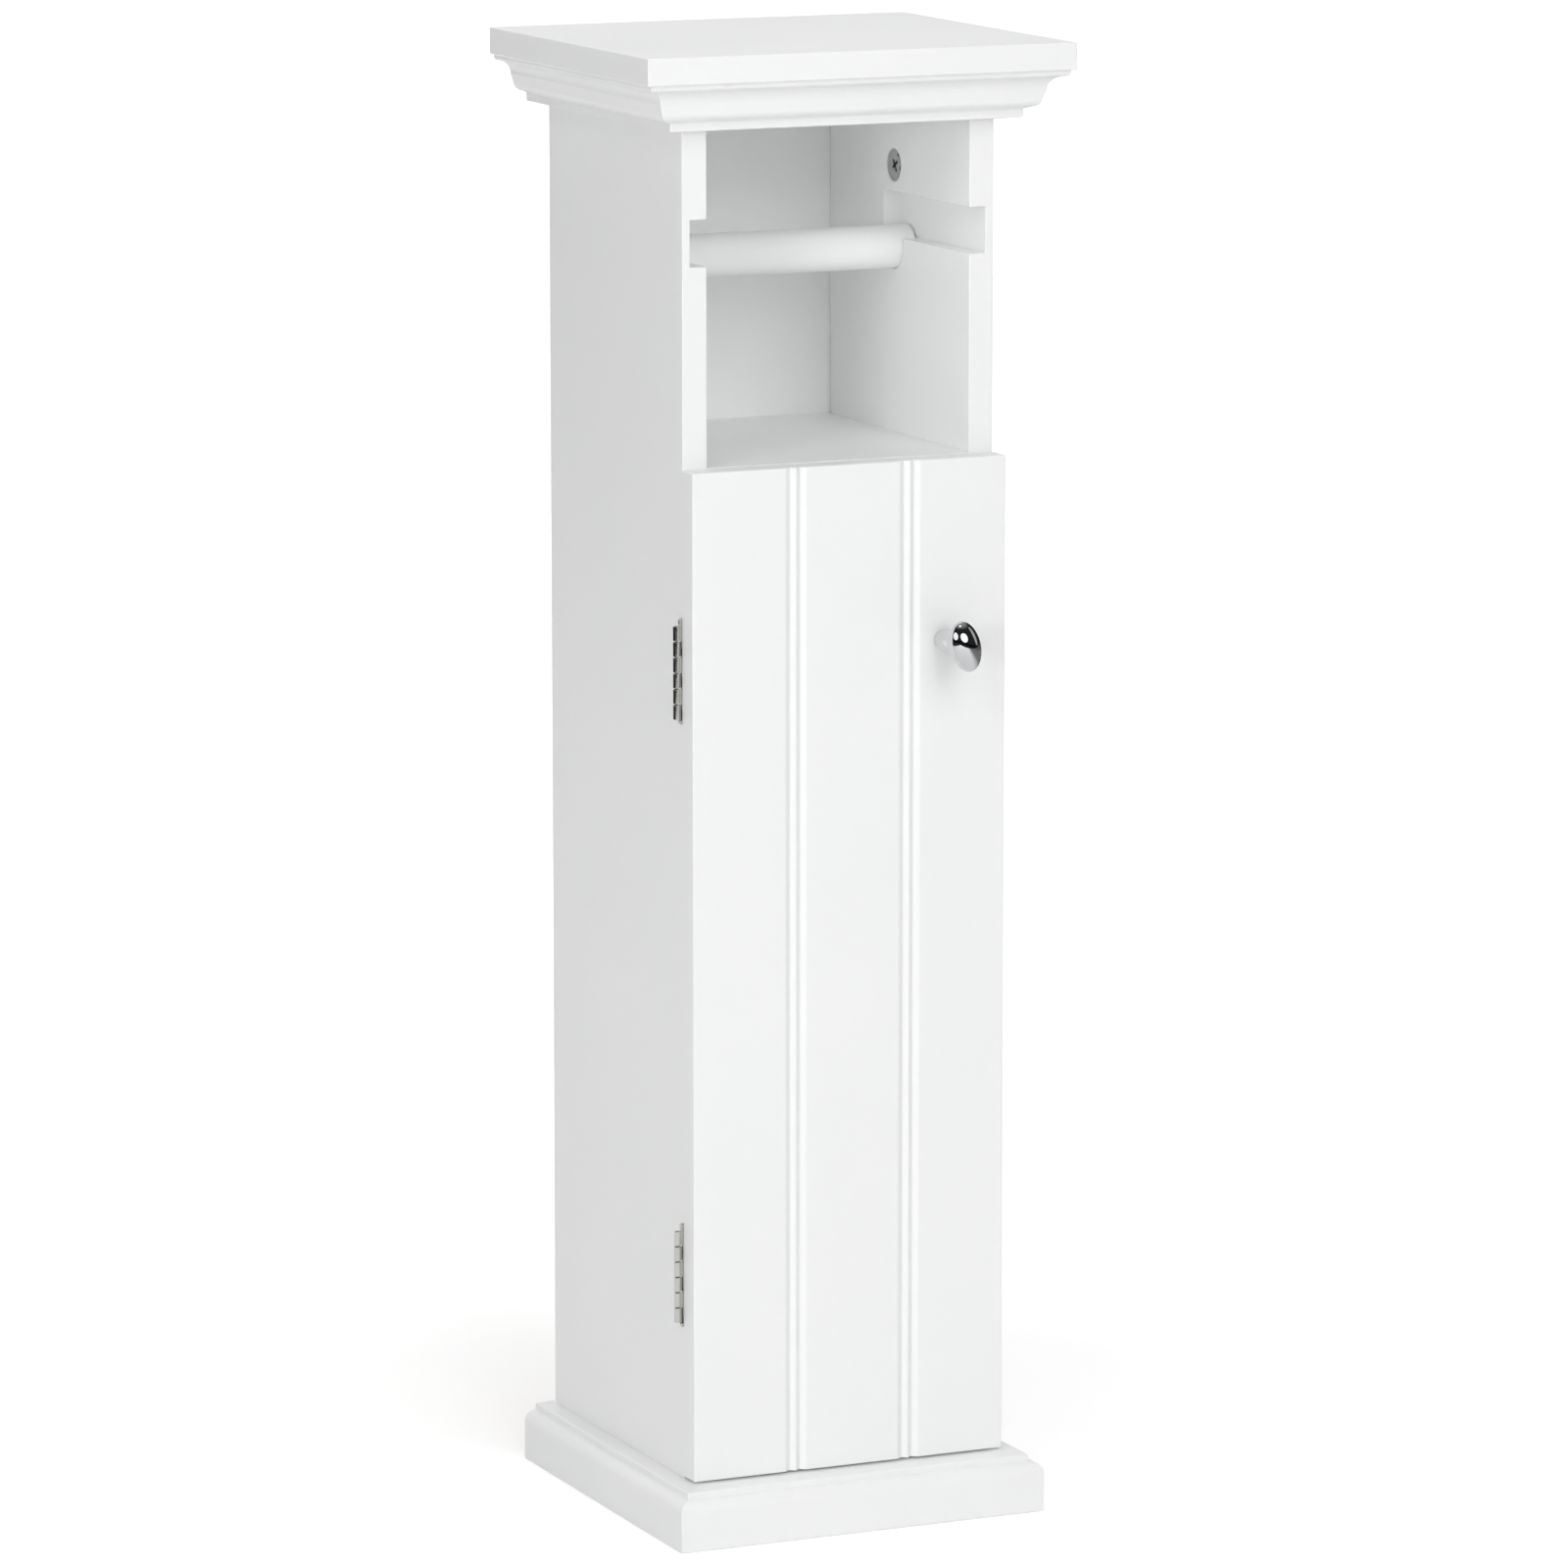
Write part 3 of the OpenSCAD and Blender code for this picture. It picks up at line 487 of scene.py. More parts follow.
# %% Draw the knob ring by ring
KNOB_X, KNOB_Z, KNOB_TILT = 45.8, 405.8, 15
foot = Vector((KNOB_X * MM, face_y, KNOB_Z * MM))
bpy.ops.object.select_all(action="DESELECT")
bpy.ops.mesh.primitive_circle_add(vertices=48, radius=knob_rings[0][1] * MM, location=foot,
                                  rotation=(math.pi / 2, 0, 0), fill_type="NGON")
knob = named("oval_chrome_knob")
bpy.ops.object.mode_set(mode="EDIT")
bpy.ops.mesh.select_mode(type="EDGE")
bpy.ops.mesh.select_all(action="SELECT")
for before, ring in zip(knob_rings, knob_rings[1:]):
    bpy.ops.mesh.extrude_region_move(
        TRANSFORM_OT_translate={"value": (0, (before[0] - ring[0]) * MM, 0)})
    bpy.ops.transform.resize(value=(ring[1] / before[1], 1, ring[2] / before[2]),
                             center_override=foot)
bpy.ops.mesh.extrude_region_move(
    TRANSFORM_OT_translate={"value": (0, (knob_rings[-1][0] - KNOB_OUT) * MM, 0)})
bpy.ops.mesh.merge(type="CENTER")
bpy.ops.mesh.select_all(action="SELECT")
bpy.ops.mesh.normals_make_consistent(inside=False)
bpy.ops.transform.rotate(value=math.radians(KNOB_TILT), orient_axis="Y", center_override=foot)
leave()
modify(knob, "SUBSURF", levels=1, render_levels=1)
finish_piece(knob, "door", ["door_knob"], "knob_chrome", angle=60)

# %% [markdown]
# ## The butt hinges
# Each hinge is two stamped steel leaves whose edges are rolled round a pin into six
# knuckles, three for each leaf. The rims of the knuckles are rounded, and from a distance
# the small grooves between them are what says hinge. The barrel could be one long cylinder
# with grooves cut in, but it could ride with one leaf only, and the real knuckles turn past
# each other as the door opens. So one knuckle is a cylinder with bevelled rims and a pin's
# end in it. It is copied along the barrel, and the copies of each leaf are joined to its
# plate. The upper hinge is a copy of the lower one.

# %% One knuckle, and a way to place copies
KNUCKLE_PLAY, KNUCKLE_WALL, KNUCKLE_ROUND = 0.35, 0.75, 0.32


def place_copy(piece, name, place, turn=(0, 0, 0)):
    """A copy with its own mesh, turned about the origin and moved, in millimetres."""
    only(piece)
    bpy.ops.object.duplicate()
    copy = bpy.context.active_object
    copy.rotation_euler = turn
    copy.location = Vector(place) * MM
    return named(name)


def join(name, pieces):
    """Joins pieces into one mesh."""
    only(pieces[0])
    for piece in pieces:
        piece.select_set(True)
    bpy.ops.object.join()
    pieces[0].name = pieces[0].data.name = name
    return pieces[0]


knuckle = rod("knuckle", (0, 0, 0), BARREL_R, KNUCKLE_LEN - KNUCKLE_PLAY, "z", vertices=40)
pick(knuckle, "FACE", lambda middle, normal: abs(normal.z) > 0.9)
bpy.ops.mesh.inset(thickness=KNUCKLE_WALL * MM)
bpy.ops.transform.resize(value=(1, 1, 0.94))  # the pin's two ends lie a little deeper
leave()
pick(knuckle, "EDGE", lambda middle, along: abs(along.z) < MM / 100
     and math.hypot(middle.x, middle.y) > (BARREL_R - 0.1) * MM)
bpy.ops.mesh.bevel(offset=KNUCKLE_ROUND * MM, offset_type="OFFSET", segments=3, affect="EDGES")
leave()
print("knuckle:", len(knuckle.data.polygons), "faces")


# %% A leaf: plate, notches, screw holes and its three knuckles
LEAF_SCREW_X, LEAF_SCREW_DZS, LEAF_HOLE_R, LEAF_HOLE_LEN = -71.0, (-16, 0, 16), 2.05, 4
LEAF_OFF, LEAF_CORNER_R, LEAF_ARRIS = 0.05, 0.8, 0.08
NOTCH_GAP, NECK_SHORT, NECK_LAP, NECK_THIN = 0.4, 0.45, 0.2, 0.02


def hinge_leaf(name, z, towards):
    """The leaf on the cabinet's side (towards 1) or the door's side (-1) of the barrel."""
    ys = sorted((BARREL_Y + towards * LEAF_OFF, BARREL_Y + towards * (LEAF_OFF + LEAF_T)))
    middle, foot_z = z + LEAF_RISE, z - 3 * KNUCKLE_LEN
    plate = box_between("plate", in_mm(LEAF_EDGE_X, ys[0], middle - LEAF_LEN / 2),
                        in_mm(LEAF_IN_X, ys[1], middle + LEAF_LEN / 2))
    pick(plate, "EDGE", lambda place, along: abs(along.y) > 0.3 * MM)
    bpy.ops.mesh.bevel(offset=LEAF_CORNER_R * MM, segments=4, affect="EDGES")
    leave()
    own = 0 if towards > 0 else 1
    for i in range(6):
        if i % 2 != own:
            low = foot_z + i * KNUCKLE_LEN - NOTCH_GAP
            high = low + KNUCKLE_LEN + 2 * NOTCH_GAP
            cut(plate, box_between("notch", in_mm(LEAF_EDGE_X - PAST, ys[0] - PAST, low),
                                   in_mm(LEAF_NOTCH_X, ys[1] + PAST, high)))
    for dz in LEAF_SCREW_DZS:
        cut(plate, rod("screw_hole", (LEAF_SCREW_X, ys[0], middle + dz),
                       LEAF_HOLE_R, LEAF_HOLE_LEN, "y", vertices=32))
    ease(plate, LEAF_ARRIS, segments=1)
    parts = [plate]
    for i in range(own, 6, 2):
        centre_z = foot_z + (i + 0.5) * KNUCKLE_LEN
        half = KNUCKLE_LEN / 2 - NECK_SHORT
        parts.append(place_copy(knuckle, "roll", (BARREL_X, BARREL_Y, centre_z)))
        neck = box_between("neck", in_mm(BARREL_X, ys[0] + NECK_THIN, centre_z - half),
                           in_mm(LEAF_EDGE_X + NECK_LAP, ys[1] - NECK_THIN, centre_z + half))
        parts.append(ease(neck, LEAF_ARRIS, segments=1))
    return join(name, parts)


lower_cabinet_leaf = hinge_leaf("lower_cabinet_leaf_stamped", HINGE_ZS[0], 1)
lower_door_leaf = hinge_leaf("lower_door_leaf_stamped", HINGE_ZS[0], -1)
rise = (0, 0, HINGE_ZS[1] - HINGE_ZS[0])
upper_cabinet_leaf = place_copy(lower_cabinet_leaf, "upper_cabinet_leaf_stamped", rise)
upper_door_leaf = place_copy(lower_door_leaf, "upper_door_leaf_stamped", rise)
bpy.data.objects.remove(knuckle)
for leaf, body, node in ((lower_cabinet_leaf, "cabinet", "lower_hinge_cabinet_leaf"),
                         (upper_cabinet_leaf, "cabinet", "upper_hinge_cabinet_leaf"),
                         (lower_door_leaf, "door", "lower_hinge_door_leaf"),
                         (upper_door_leaf, "door", "upper_hinge_door_leaf")):
    finish_piece(leaf, body, [node], "hinge_nickel", angle=35)

# %% [markdown]
# ## Screws
# The hinge leaves, the catch and the strike plate are held by small countersunk screws with
# a cross recess. Bump could draw the cross, but only a recess that is really cut holds a
# shadow from every side. One head is modelled looking along +Z: a short cylinder, its lower
# rim drawn in to the shank for the countersink, and a cross cut into its face. It is copied
# to every place, and the copies of one CAD node are joined into one piece.

# %% One countersunk head with a cross recess
CROSS_ARM, CROSS_WIDTH, CROSS_DEPTH = 0.62, 0.14, 0.3  # as shares of the head's width
CROSS_FOOT = (0.45, 0.7, 1)  # how far a bar of the cross narrows towards its bottom
POINT_SHARE = 0.25


def cross_cutter(arm, width, deep, turn=0):
    """Two crossed bars that reach deep below z = 0."""
    bars = []
    for quarter in (0, math.pi / 2):
        bar_box = box_between("bar", in_mm(-arm / 2, -width / 2, -deep),
                              in_mm(arm / 2, width / 2, PAST))
        pick(bar_box, "FACE", lambda middle, normal: normal.z < -0.9)
        bpy.ops.transform.resize(value=CROSS_FOOT)
        leave()
        bars.append(place_copy(bar_box, "bar", (0, 0, 0), (0, 0, quarter + turn)))
        bpy.data.objects.remove(bar_box)
    return bars


def screw_head(head_d, shank_d, length):
    """A countersunk screw: head face at z = 0, shank downwards."""
    deep = (head_d - shank_d) / 2
    screw = rod("screw", (0, 0, -deep / 2), head_d / 2, deep, "z", 32)
    pick(screw, "FACE", lambda middle, normal: normal.z < -0.9)
    bpy.ops.transform.resize(value=(shank_d / head_d,) * 2 + (1,))
    bpy.ops.mesh.extrude_region_move(
        TRANSFORM_OT_translate={"value": (0, 0, -(length - deep - shank_d) * MM)})
    bpy.ops.mesh.extrude_region_move(TRANSFORM_OT_translate={"value": (0, 0, -shank_d * MM)})
    bpy.ops.transform.resize(value=(POINT_SHARE, POINT_SHARE, 1))
    leave()
    return cut(screw, *cross_cutter(head_d * CROSS_ARM, head_d * CROSS_WIDTH,
                                    head_d * CROSS_DEPTH, math.pi / 4))


def screws_at(name, screw, places, turn, body, node, slot):
    """Copies of a screw at the places, all turned the same way, as one piece."""
    copies = [place_copy(screw, "copy", place, turn) for place in places]
    finish_piece(join(name, copies), body, [node], slot, angle=35)


FACE_BACK, FACE_FRONT = (-math.pi / 2, 0, 0), (math.pi / 2, 0, 0)
leaf_screw = screw_head(head_d=4.0, shank_d=2.2, length=9.5)
for towards, turn, body, node in ((1, FACE_FRONT, "cabinet", "cabinet_leaf_screws"),
                                  (-1, FACE_BACK, "door", "door_leaf_screws")):
    places = [(LEAF_SCREW_X, BARREL_Y + towards * LEAF_OFF, z + LEAF_RISE + dz)
              for z in HINGE_ZS for dz in LEAF_SCREW_DZS]
    screws_at(node + "_crossed", leaf_screw, places, turn, body, node, "hinge_nickel")
bpy.data.objects.remove(leaf_screw)

# %% The catch's two screws and the strike plate's one
CATCH_X, CATCH_MID_Y, CATCH_FLANGE_Z, CATCH_SCREW_DX = 34.0, -48.4, 472.9, 16.5
catch_screw = screw_head(head_d=5.6, shank_d=2.9, length=12)
screws_at("catch_screws_crossed", catch_screw,
          [(CATCH_X + s * CATCH_SCREW_DX, CATCH_MID_Y, CATCH_FLANGE_Z) for s in (-1, 1)],
          (math.pi, 0, 0), "cabinet", "catch_screws", "zinc_plated_steel")
bpy.data.objects.remove(catch_screw)
strike_screw = screw_head(head_d=5.0, shank_d=2.4, length=9)
strike_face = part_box("strike_plate")[1]
strike_mid_z = sum(c.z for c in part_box("strike_plate")) / 2 / MM
screws_at("strike_screw_crossed", strike_screw, [(CATCH_X, strike_face.y / MM, strike_mid_z)],
          FACE_BACK, "door", "strike_screw", "zinc_plated_steel")
bpy.data.objects.remove(strike_screw)

# %% [markdown]
# The knob is held from inside by a machine screw with a domed pan head. The dome could be
# half a sphere, but a pan head is flat on top with a round shoulder. So a cylinder makes
# the head, its outer rim gets a broad bevel, and the same cross goes in.

# %% The knob's pan head screw
PAN_R, PAN_H, PAN_SHOULDER, SHANK_R = 4.0, 2.4, 1.1, 2.0
door_back, screw_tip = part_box("door")[1].y / MM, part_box("knob_screw")[0].y / MM
pan = rod("pan_head", (0, 0, PAN_H / 2), PAN_R, PAN_H, "z", vertices=40)
pick(pan, "EDGE", lambda middle, along: middle.z > 2 * MM and abs(along.z) < MM / 100)
bpy.ops.mesh.bevel(offset=PAN_SHOULDER * MM, segments=4, affect="EDGES")
leave()
for bar_piece in cross_cutter(arm=4.6, width=1.0, deep=1.6):
    lifted = place_copy(bar_piece, "lifted", (0, 0, PAN_H))
    bpy.data.objects.remove(bar_piece)
    cut(pan, lifted)
shank = rod("shank", (0, 0, (screw_tip - door_back) / 2), SHANK_R, door_back - screw_tip, "z",
            vertices=24)
pan = join("knob_screw_pan_head", [pan, shank])
knob_screw = place_copy(pan, "knob_machine_screw", (KNOB_X, door_back, KNOB_Z), FACE_BACK)
bpy.data.objects.remove(pan)
finish_piece(knob_screw, "door", ["knob_screw"], "zinc_plated_steel", angle=35)

# %% [markdown]
# ## The cam locks
# A knock-down fitting: a zinc drum, 15 mm across, let flush into the board. Its face has a
# cross for the screwdriver, and a notch at the rim that points to the bolt. A raised rim is
# what the die leaves. The drum is a cylinder whose face is inset and pushed in, and the
# cross and the notch are cut. The notch is three small boxes: a wide one at the rim and a
# narrow, deeper one at each end of it. Ten copies go to their places.

# %% Model one cam lock, face up at z = 0
CAM_R, CAM_DEEP, CAM_ARRIS = 7.5, 9.4, 0.25
RIM_W, RIM_SLOPE, FACE_SUNK = 0.8, 0.25, 0.4
CROSS_TURN, NOTCH_TURN = math.radians(34), math.radians(201)
cam = rod("cam", (0, 0, -CAM_DEEP / 2), CAM_R, CAM_DEEP, "z", vertices=64)
pick(cam, "FACE", lambda middle, normal: normal.z > 0.9)
bpy.ops.mesh.inset(thickness=RIM_W * MM)
bpy.ops.mesh.inset(thickness=RIM_SLOPE * MM)
bpy.ops.transform.translate(value=(0, 0, -FACE_SUNK * MM))
leave()
pick(cam, "EDGE", lambda middle, along: middle.z > -MM / 10
     and math.hypot(middle.x, middle.y) > (CAM_R - 0.1) * MM)
bpy.ops.mesh.bevel(offset=CAM_ARRIS * MM, segments=2, affect="EDGES")
leave()
cut(cam, *cross_cutter(arm=8.6, width=1.7, deep=3.0, turn=CROSS_TURN))
notch_boxes = [box_between("notch", in_mm(x - half_w, from_r, -CAM_DEEP - PAST),
                           in_mm(x + half_w, CAM_R + PAST, PAST))
               for x, half_w, from_r in ((0, 3.4, 6.0), (-3.2, 0.9, 4.7), (3.2, 0.9, 4.7))]
for notch_box in notch_boxes:
    cut(cam, place_copy(notch_box, "notch_turned", (0, 0, 0), (0, 0, NOTCH_TURN)))
    bpy.data.objects.remove(notch_box)
print("cam lock:", len(cam.data.polygons), "faces")

# %% Copy it to all ten places
cams = [place_copy(cam, "copy", (s * INNER_X, TOP_CAM_Y, TOP_CAM_Z), (0, -s * math.pi / 2, 0))
        for s in (-1, 1)]
for node in ("niche_floor", "cupboard_floor"):
    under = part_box(node)[0].z / MM
    cams += [place_copy(cam, "copy", (x, y, under), (math.pi, 0, 0))
             for x in (-SHELF_CAM_X, SHELF_CAM_X) for y in SHELF_CAM_YS]
bpy.data.objects.remove(cam)
finish_piece(join("cam_locks_cast", cams), "cabinet", ["cam_locks"], "cast_zinc", angle=35)

# %% [markdown]
# ## The catch's plastic housing
# Here the CAD shape is already right and only its edges are too sharp for a moulding, so
# there is nothing to model anew. A CAD node's own mesh is loose triangles and is never
# touched. A copy is merged, its flat faces are dissolved into whole ones, and its edges are
# eased. The pressed strike plate is treated alike.

# %% An eased copy of a CAD node
def eased_copy(node, name, width, body, slot):
    """A merged copy of a CAD node with its sharp edges rounded a little."""
    only(frame["nodes"][node])
    bpy.ops.object.duplicate()
    piece = bpy.context.active_object
    piece.name = piece.data.name = name
    bpy.ops.object.parent_clear(type="CLEAR_KEEP_TRANSFORM")
    for key in list(piece.keys()):
        del piece[key]
    bpy.ops.object.mode_set(mode="EDIT")
    bpy.ops.mesh.select_all(action="SELECT")
    bpy.ops.mesh.remove_doubles(threshold=MM / 200)
    bpy.ops.mesh.dissolve_limited(angle_limit=math.radians(1))
    leave()
    pick(piece, "EDGE", lambda middle, along: along.length > 2 * MM)
    bpy.ops.mesh.bevel(offset=width * MM, segments=2, affect="EDGES", clamp_overlap=True)
    leave()
    finish_piece(piece, body, [node], slot, angle=35)


eased_copy("catch_housing", "catch_housing_moulded", 0.4, "cabinet", "catch_plastic")
eased_copy("strike_plate", "strike_plate_pressed", 0.15, "door", "zinc_plated_steel")

# %% [markdown]
# # Finishes
# A hex colour is what the eye reads off the object. The shaders work in linear light, so
# one function turns it. Another adds a node, sets it and links it. Patterns read Object
# coordinates, which are metres on the piece, so a noise with the scale 1 / 0.002 has its
# crests about 2 mm apart.

# %% Colour and node helpers
def linear(hex_colour):
    """An sRGB hex colour as linear RGBA."""
    parts = [int(hex_colour[i:i + 2], 16) / 255 for i in (1, 3, 5)]
    return (*[p / 12.92 if p <= 0.04045 else ((p + 0.055) / 1.055) ** 2.4 for p in parts], 1)


def add_node(tree, kind, settings=None, inputs=None):
    """Adds a node. An input that is another node's socket is linked, any other is set."""
    new = tree.nodes.new("ShaderNode" + kind)
    for key, value in (settings or {}).items():
        setattr(new, key, value)
    for key, value in (inputs or {}).items():
        if isinstance(value, bpy.types.NodeSocket):
            tree.links.new(value, new.inputs[key])
        else:
            new.inputs[key].default_value = value
    return new


def new_material(name):
    """An empty material, its tree and the object coordinates that its patterns read."""
    material = bpy.data.materials.new(name)
    material.use_nodes = True
    tree = material.node_tree
    tree.nodes.clear()
    return material, tree, add_node(tree, "TexCoord").outputs["Object"]


# %% [markdown]
# ## White satin lacquer on fibreboard
# Sprayed polyurethane, sanded between coats. To the eye it is an even, neutral white with a
# soft sheen. Close by, the film has a faint orange peel, about 2 mm from crest to crest and
# a few hundredths of a millimetre deep, and the sheen varies a little over a hand's breadth
# where the gun's passes overlap. One flat white would look like film stuck on, so three
# noises carry these. The finest stands for the dust in the film, and is drawn coarser than
# real dust so that it shows.

# %% Make the lacquer
LACQUER_WHITE, LACQUER_SHADE = "#F6F6F6", "#F2F3F3"
GUN_PASS, PEEL, DUST = 0.09, 0.002, 0.0006  # from crest to crest, in metres
lacquer, tree, place = new_material("white_satin_lacquer")
passes = add_node(tree, "TexNoise", None, {"Vector": place, "Scale": 1 / GUN_PASS, "Detail": 3.0})
peel = add_node(tree, "TexNoise", None, {"Vector": place, "Scale": 1 / PEEL, "Detail": 2.0})
dust = add_node(tree, "TexNoise", None, {"Vector": place, "Scale": 1 / DUST, "Detail": 1.0})
tone = add_node(tree, "Mix", {"data_type": "RGBA"},
                {0: passes.outputs["Fac"], 6: linear(LACQUER_WHITE), 7: linear(LACQUER_SHADE)})
sheen = add_node(tree, "MapRange", None, {"Value": passes.outputs["Fac"], "From Min": 0.3,
                                          "From Max": 0.7, "To Min": 0.3, "To Max": 0.36})
height = add_node(tree, "Math", {"operation": "MULTIPLY_ADD"},
                  {0: dust.outputs["Fac"], 1: 0.25, 2: peel.outputs["Fac"]})
film = add_node(tree, "Bump", None, {"Strength": 0.06, "Distance": 0.00003,
                                     "Height": height.outputs[0]})
coat = add_node(tree, "BsdfPrincipled", None, {
    "Base Color": tone.outputs[2], "Roughness": sheen.outputs[0], "IOR": 1.5,
    "Normal": film.outputs[0]})
add_node(tree, "OutputMaterial", None, {"Surface": coat.outputs[0]})
print("lacquer nodes:", len(tree.nodes))

# %% [markdown]
# ## Hardboard
# The back panel is 3 mm wet-process hardboard. Its front is painted white, and its back is
# bare: brown pressed fibre with the print of the wire screen that it was pressed on, about
# 1.6 mm from wire to wire. Two materials could be split over its faces, but the CAD node
# stays as it is, so one material carries both, split by how far back the point is.

# %% Make the hardboard
FIBRE_DARK, FIBRE_LIGHT = "#6B4A30", "#94704E"
FIBRE, CLOUD, WIRE = 0.0025, 0.06, 0.0016  # fibre bundles, blotches and screen, in metres
hardboard, tree, place = new_material("hardboard_painted_in_front")
axes = add_node(tree, "SeparateXYZ", None, {0: place})
bare = add_node(tree, "Math", {"operation": "GREATER_THAN"},
                {0: axes.outputs["Y"], 1: (WALL_Y - 0.05) * MM})
stretched = add_node(tree, "Mapping", None, {"Vector": place, "Scale": (1, 1, 0.4)})
fibres = add_node(tree, "TexNoise", None, {"Vector": stretched.outputs[0], "Scale": 1 / FIBRE,
                                           "Detail": 6.0, "Roughness": 0.7})
clouds = add_node(tree, "TexNoise", None, {"Vector": place, "Scale": 1 / CLOUD, "Detail": 4.0})
mottle = add_node(tree, "Math", {"operation": "MULTIPLY_ADD"},
                  {0: clouds.outputs["Fac"], 1: 0.6, 2: fibres.outputs["Fac"]})
spread = add_node(tree, "MapRange", None, {"Value": mottle.outputs[0], "From Min": 0.55,
                                           "From Max": 1.05})
brown = add_node(tree, "Mix", {"data_type": "RGBA"},
                 {0: spread.outputs[0], 6: linear(FIBRE_DARK), 7: linear(FIBRE_LIGHT)})
colour = add_node(tree, "Mix", {"data_type": "RGBA"},
                  {0: bare.outputs[0], 6: linear(LACQUER_WHITE), 7: brown.outputs[2]})
rough = add_node(tree, "MapRange", None, {"Value": bare.outputs[0], "To Min": 0.42, "To Max": 0.85})
wires = []
for axis in "XZ":
    count = add_node(tree, "Math", {"operation": "MULTIPLY"},
                     {0: axes.outputs[axis], 1: 2 * math.pi / WIRE})
    wires.append(add_node(tree, "Math", {"operation": "SINE"}, {0: count.outputs[0]}))
screen = add_node(tree, "Math", {"operation": "MULTIPLY"},
                  {0: wires[0].outputs[0], 1: wires[1].outputs[0]})
rear = add_node(tree, "Math", {"operation": "MULTIPLY_ADD"},
                {0: screen.outputs[0], 1: 0.5, 2: fibres.outputs["Fac"]})
height = add_node(tree, "Math", {"operation": "MULTIPLY"}, {0: rear.outputs[0], 1: bare.outputs[0]})
relief = add_node(tree, "Bump", None, {"Strength": 0.6, "Distance": 0.00015,
                                       "Height": height.outputs[0]})
board_face = add_node(tree, "BsdfPrincipled", None, {
    "Base Color": colour.outputs[2], "Roughness": rough.outputs[0], "IOR": 1.5,
    "Normal": relief.outputs[0]})
add_node(tree, "OutputMaterial", None, {"Surface": board_face.outputs[0]})
print("hardboard nodes:", len(tree.nodes))

# %% [markdown]
# ## Bare beech
# The dowels are turned beech with the grain along them. Beech is a pinkish straw colour,
# with fine rays as short darker flecks about 1.5 mm long. Noise that is stretched along the
# piece gives the grain, and the cells of a Voronoi pattern give the flecks.

# %% Make the beech
STRAW_DARK, STRAW_LIGHT, RAY_BROWN = "#C79B6A", "#E2C69C", "#A9784A"
GRAIN, FLECK = 0.0012, 0.0015  # from streak to streak and from fleck to fleck, in metres
beech, tree, place = new_material("bare_turned_beech")
grain_map = add_node(tree, "Mapping", None, {"Vector": place, "Scale": (0.25, 1, 0.25)})
grain = add_node(tree, "TexNoise", None, {"Vector": grain_map.outputs[0], "Scale": 1 / GRAIN,
                                          "Detail": 5.0, "Roughness": 0.6})
flecks = add_node(tree, "TexVoronoi", None, {"Vector": grain_map.outputs[0], "Scale": 1 / FLECK})
wood = add_node(tree, "Mix", {"data_type": "RGBA"},
                {0: grain.outputs["Fac"], 6: linear(STRAW_DARK), 7: linear(STRAW_LIGHT)})
ray = add_node(tree, "MapRange", None, {"Value": flecks.outputs["Distance"], "From Max": 0.25,
                                        "To Min": 0.35, "To Max": 0.0})
colour = add_node(tree, "Mix", {"data_type": "RGBA"},
                  {0: ray.outputs[0], 6: wood.outputs[2], 7: linear(RAY_BROWN)})
pores = add_node(tree, "Bump", None, {"Strength": 0.3, "Distance": 0.0001,
                                      "Height": grain.outputs["Fac"]})
turned = add_node(tree, "BsdfPrincipled", None, {
    "Base Color": colour.outputs[2], "Roughness": 0.62, "IOR": 1.5, "Normal": pores.outputs[0]})
add_node(tree, "OutputMaterial", None, {"Surface": turned.outputs[0]})
print("beech nodes:", len(tree.nodes))

# %% [markdown]
# ## Plated and cast metals
# Four metals share one recipe and differ in numbers: how bright, how rough, how large the
# cloudy spots are, how deep the surface's own grain is, and how far out of a crevice the
# painted shade reaches. Nickel plate on stamped steel is warm and satin. Zinc plate is
# bluish with spangles. Cast zinc is dull grey with the grain of the die. Chrome over a
# polished casting is nearly a mirror, with only the faint haze that fingers leave. Real
# plate has a far finer grain. It is drawn this coarse so that it shows at all. In the
# joints of a hinge and in the cross of a screw, metal looks almost black because it lies in
# shade. The Ambient Occlusion node finds such places by how closed in a point is, and the
# recipe paints a dark grey shade into the colour there.

# %% Make the metals
# A dark grey that is painted into crevices as shade.
CREVICE_SHADE_GREY = "#2B2A28"
METALS = {
    # slot: name, darker and lighter colour, smoothest and roughest,
    #       then in millimetres: clouds, grain, depth of the grain, reach of the painted shade
    "hinge_nickel": ("satin_nickel_plate", "#CBC9C4", "#DDDBD6", 0.07, 0.14,
                     3.0, 0.6, 0.004, 1.6),
    "zinc_plated_steel": ("bright_zinc_plate", "#B4BABC", "#D3D8DA", 0.26, 0.42,
                          2.0, 0.6, 0.008, 1.0),
    "cast_zinc": ("die_cast_zinc", "#ABAFB0", "#D0D3D3", 0.34, 0.5,
                  2.5, 0.6, 0.02, 2.0),
    "knob_chrome": ("polished_chrome_plate", "#D2D3D5", "#DEDFE0", 0.02, 0.05,
                    9.0, 1.5, 0.0004, 0.1),
}
metals = {}
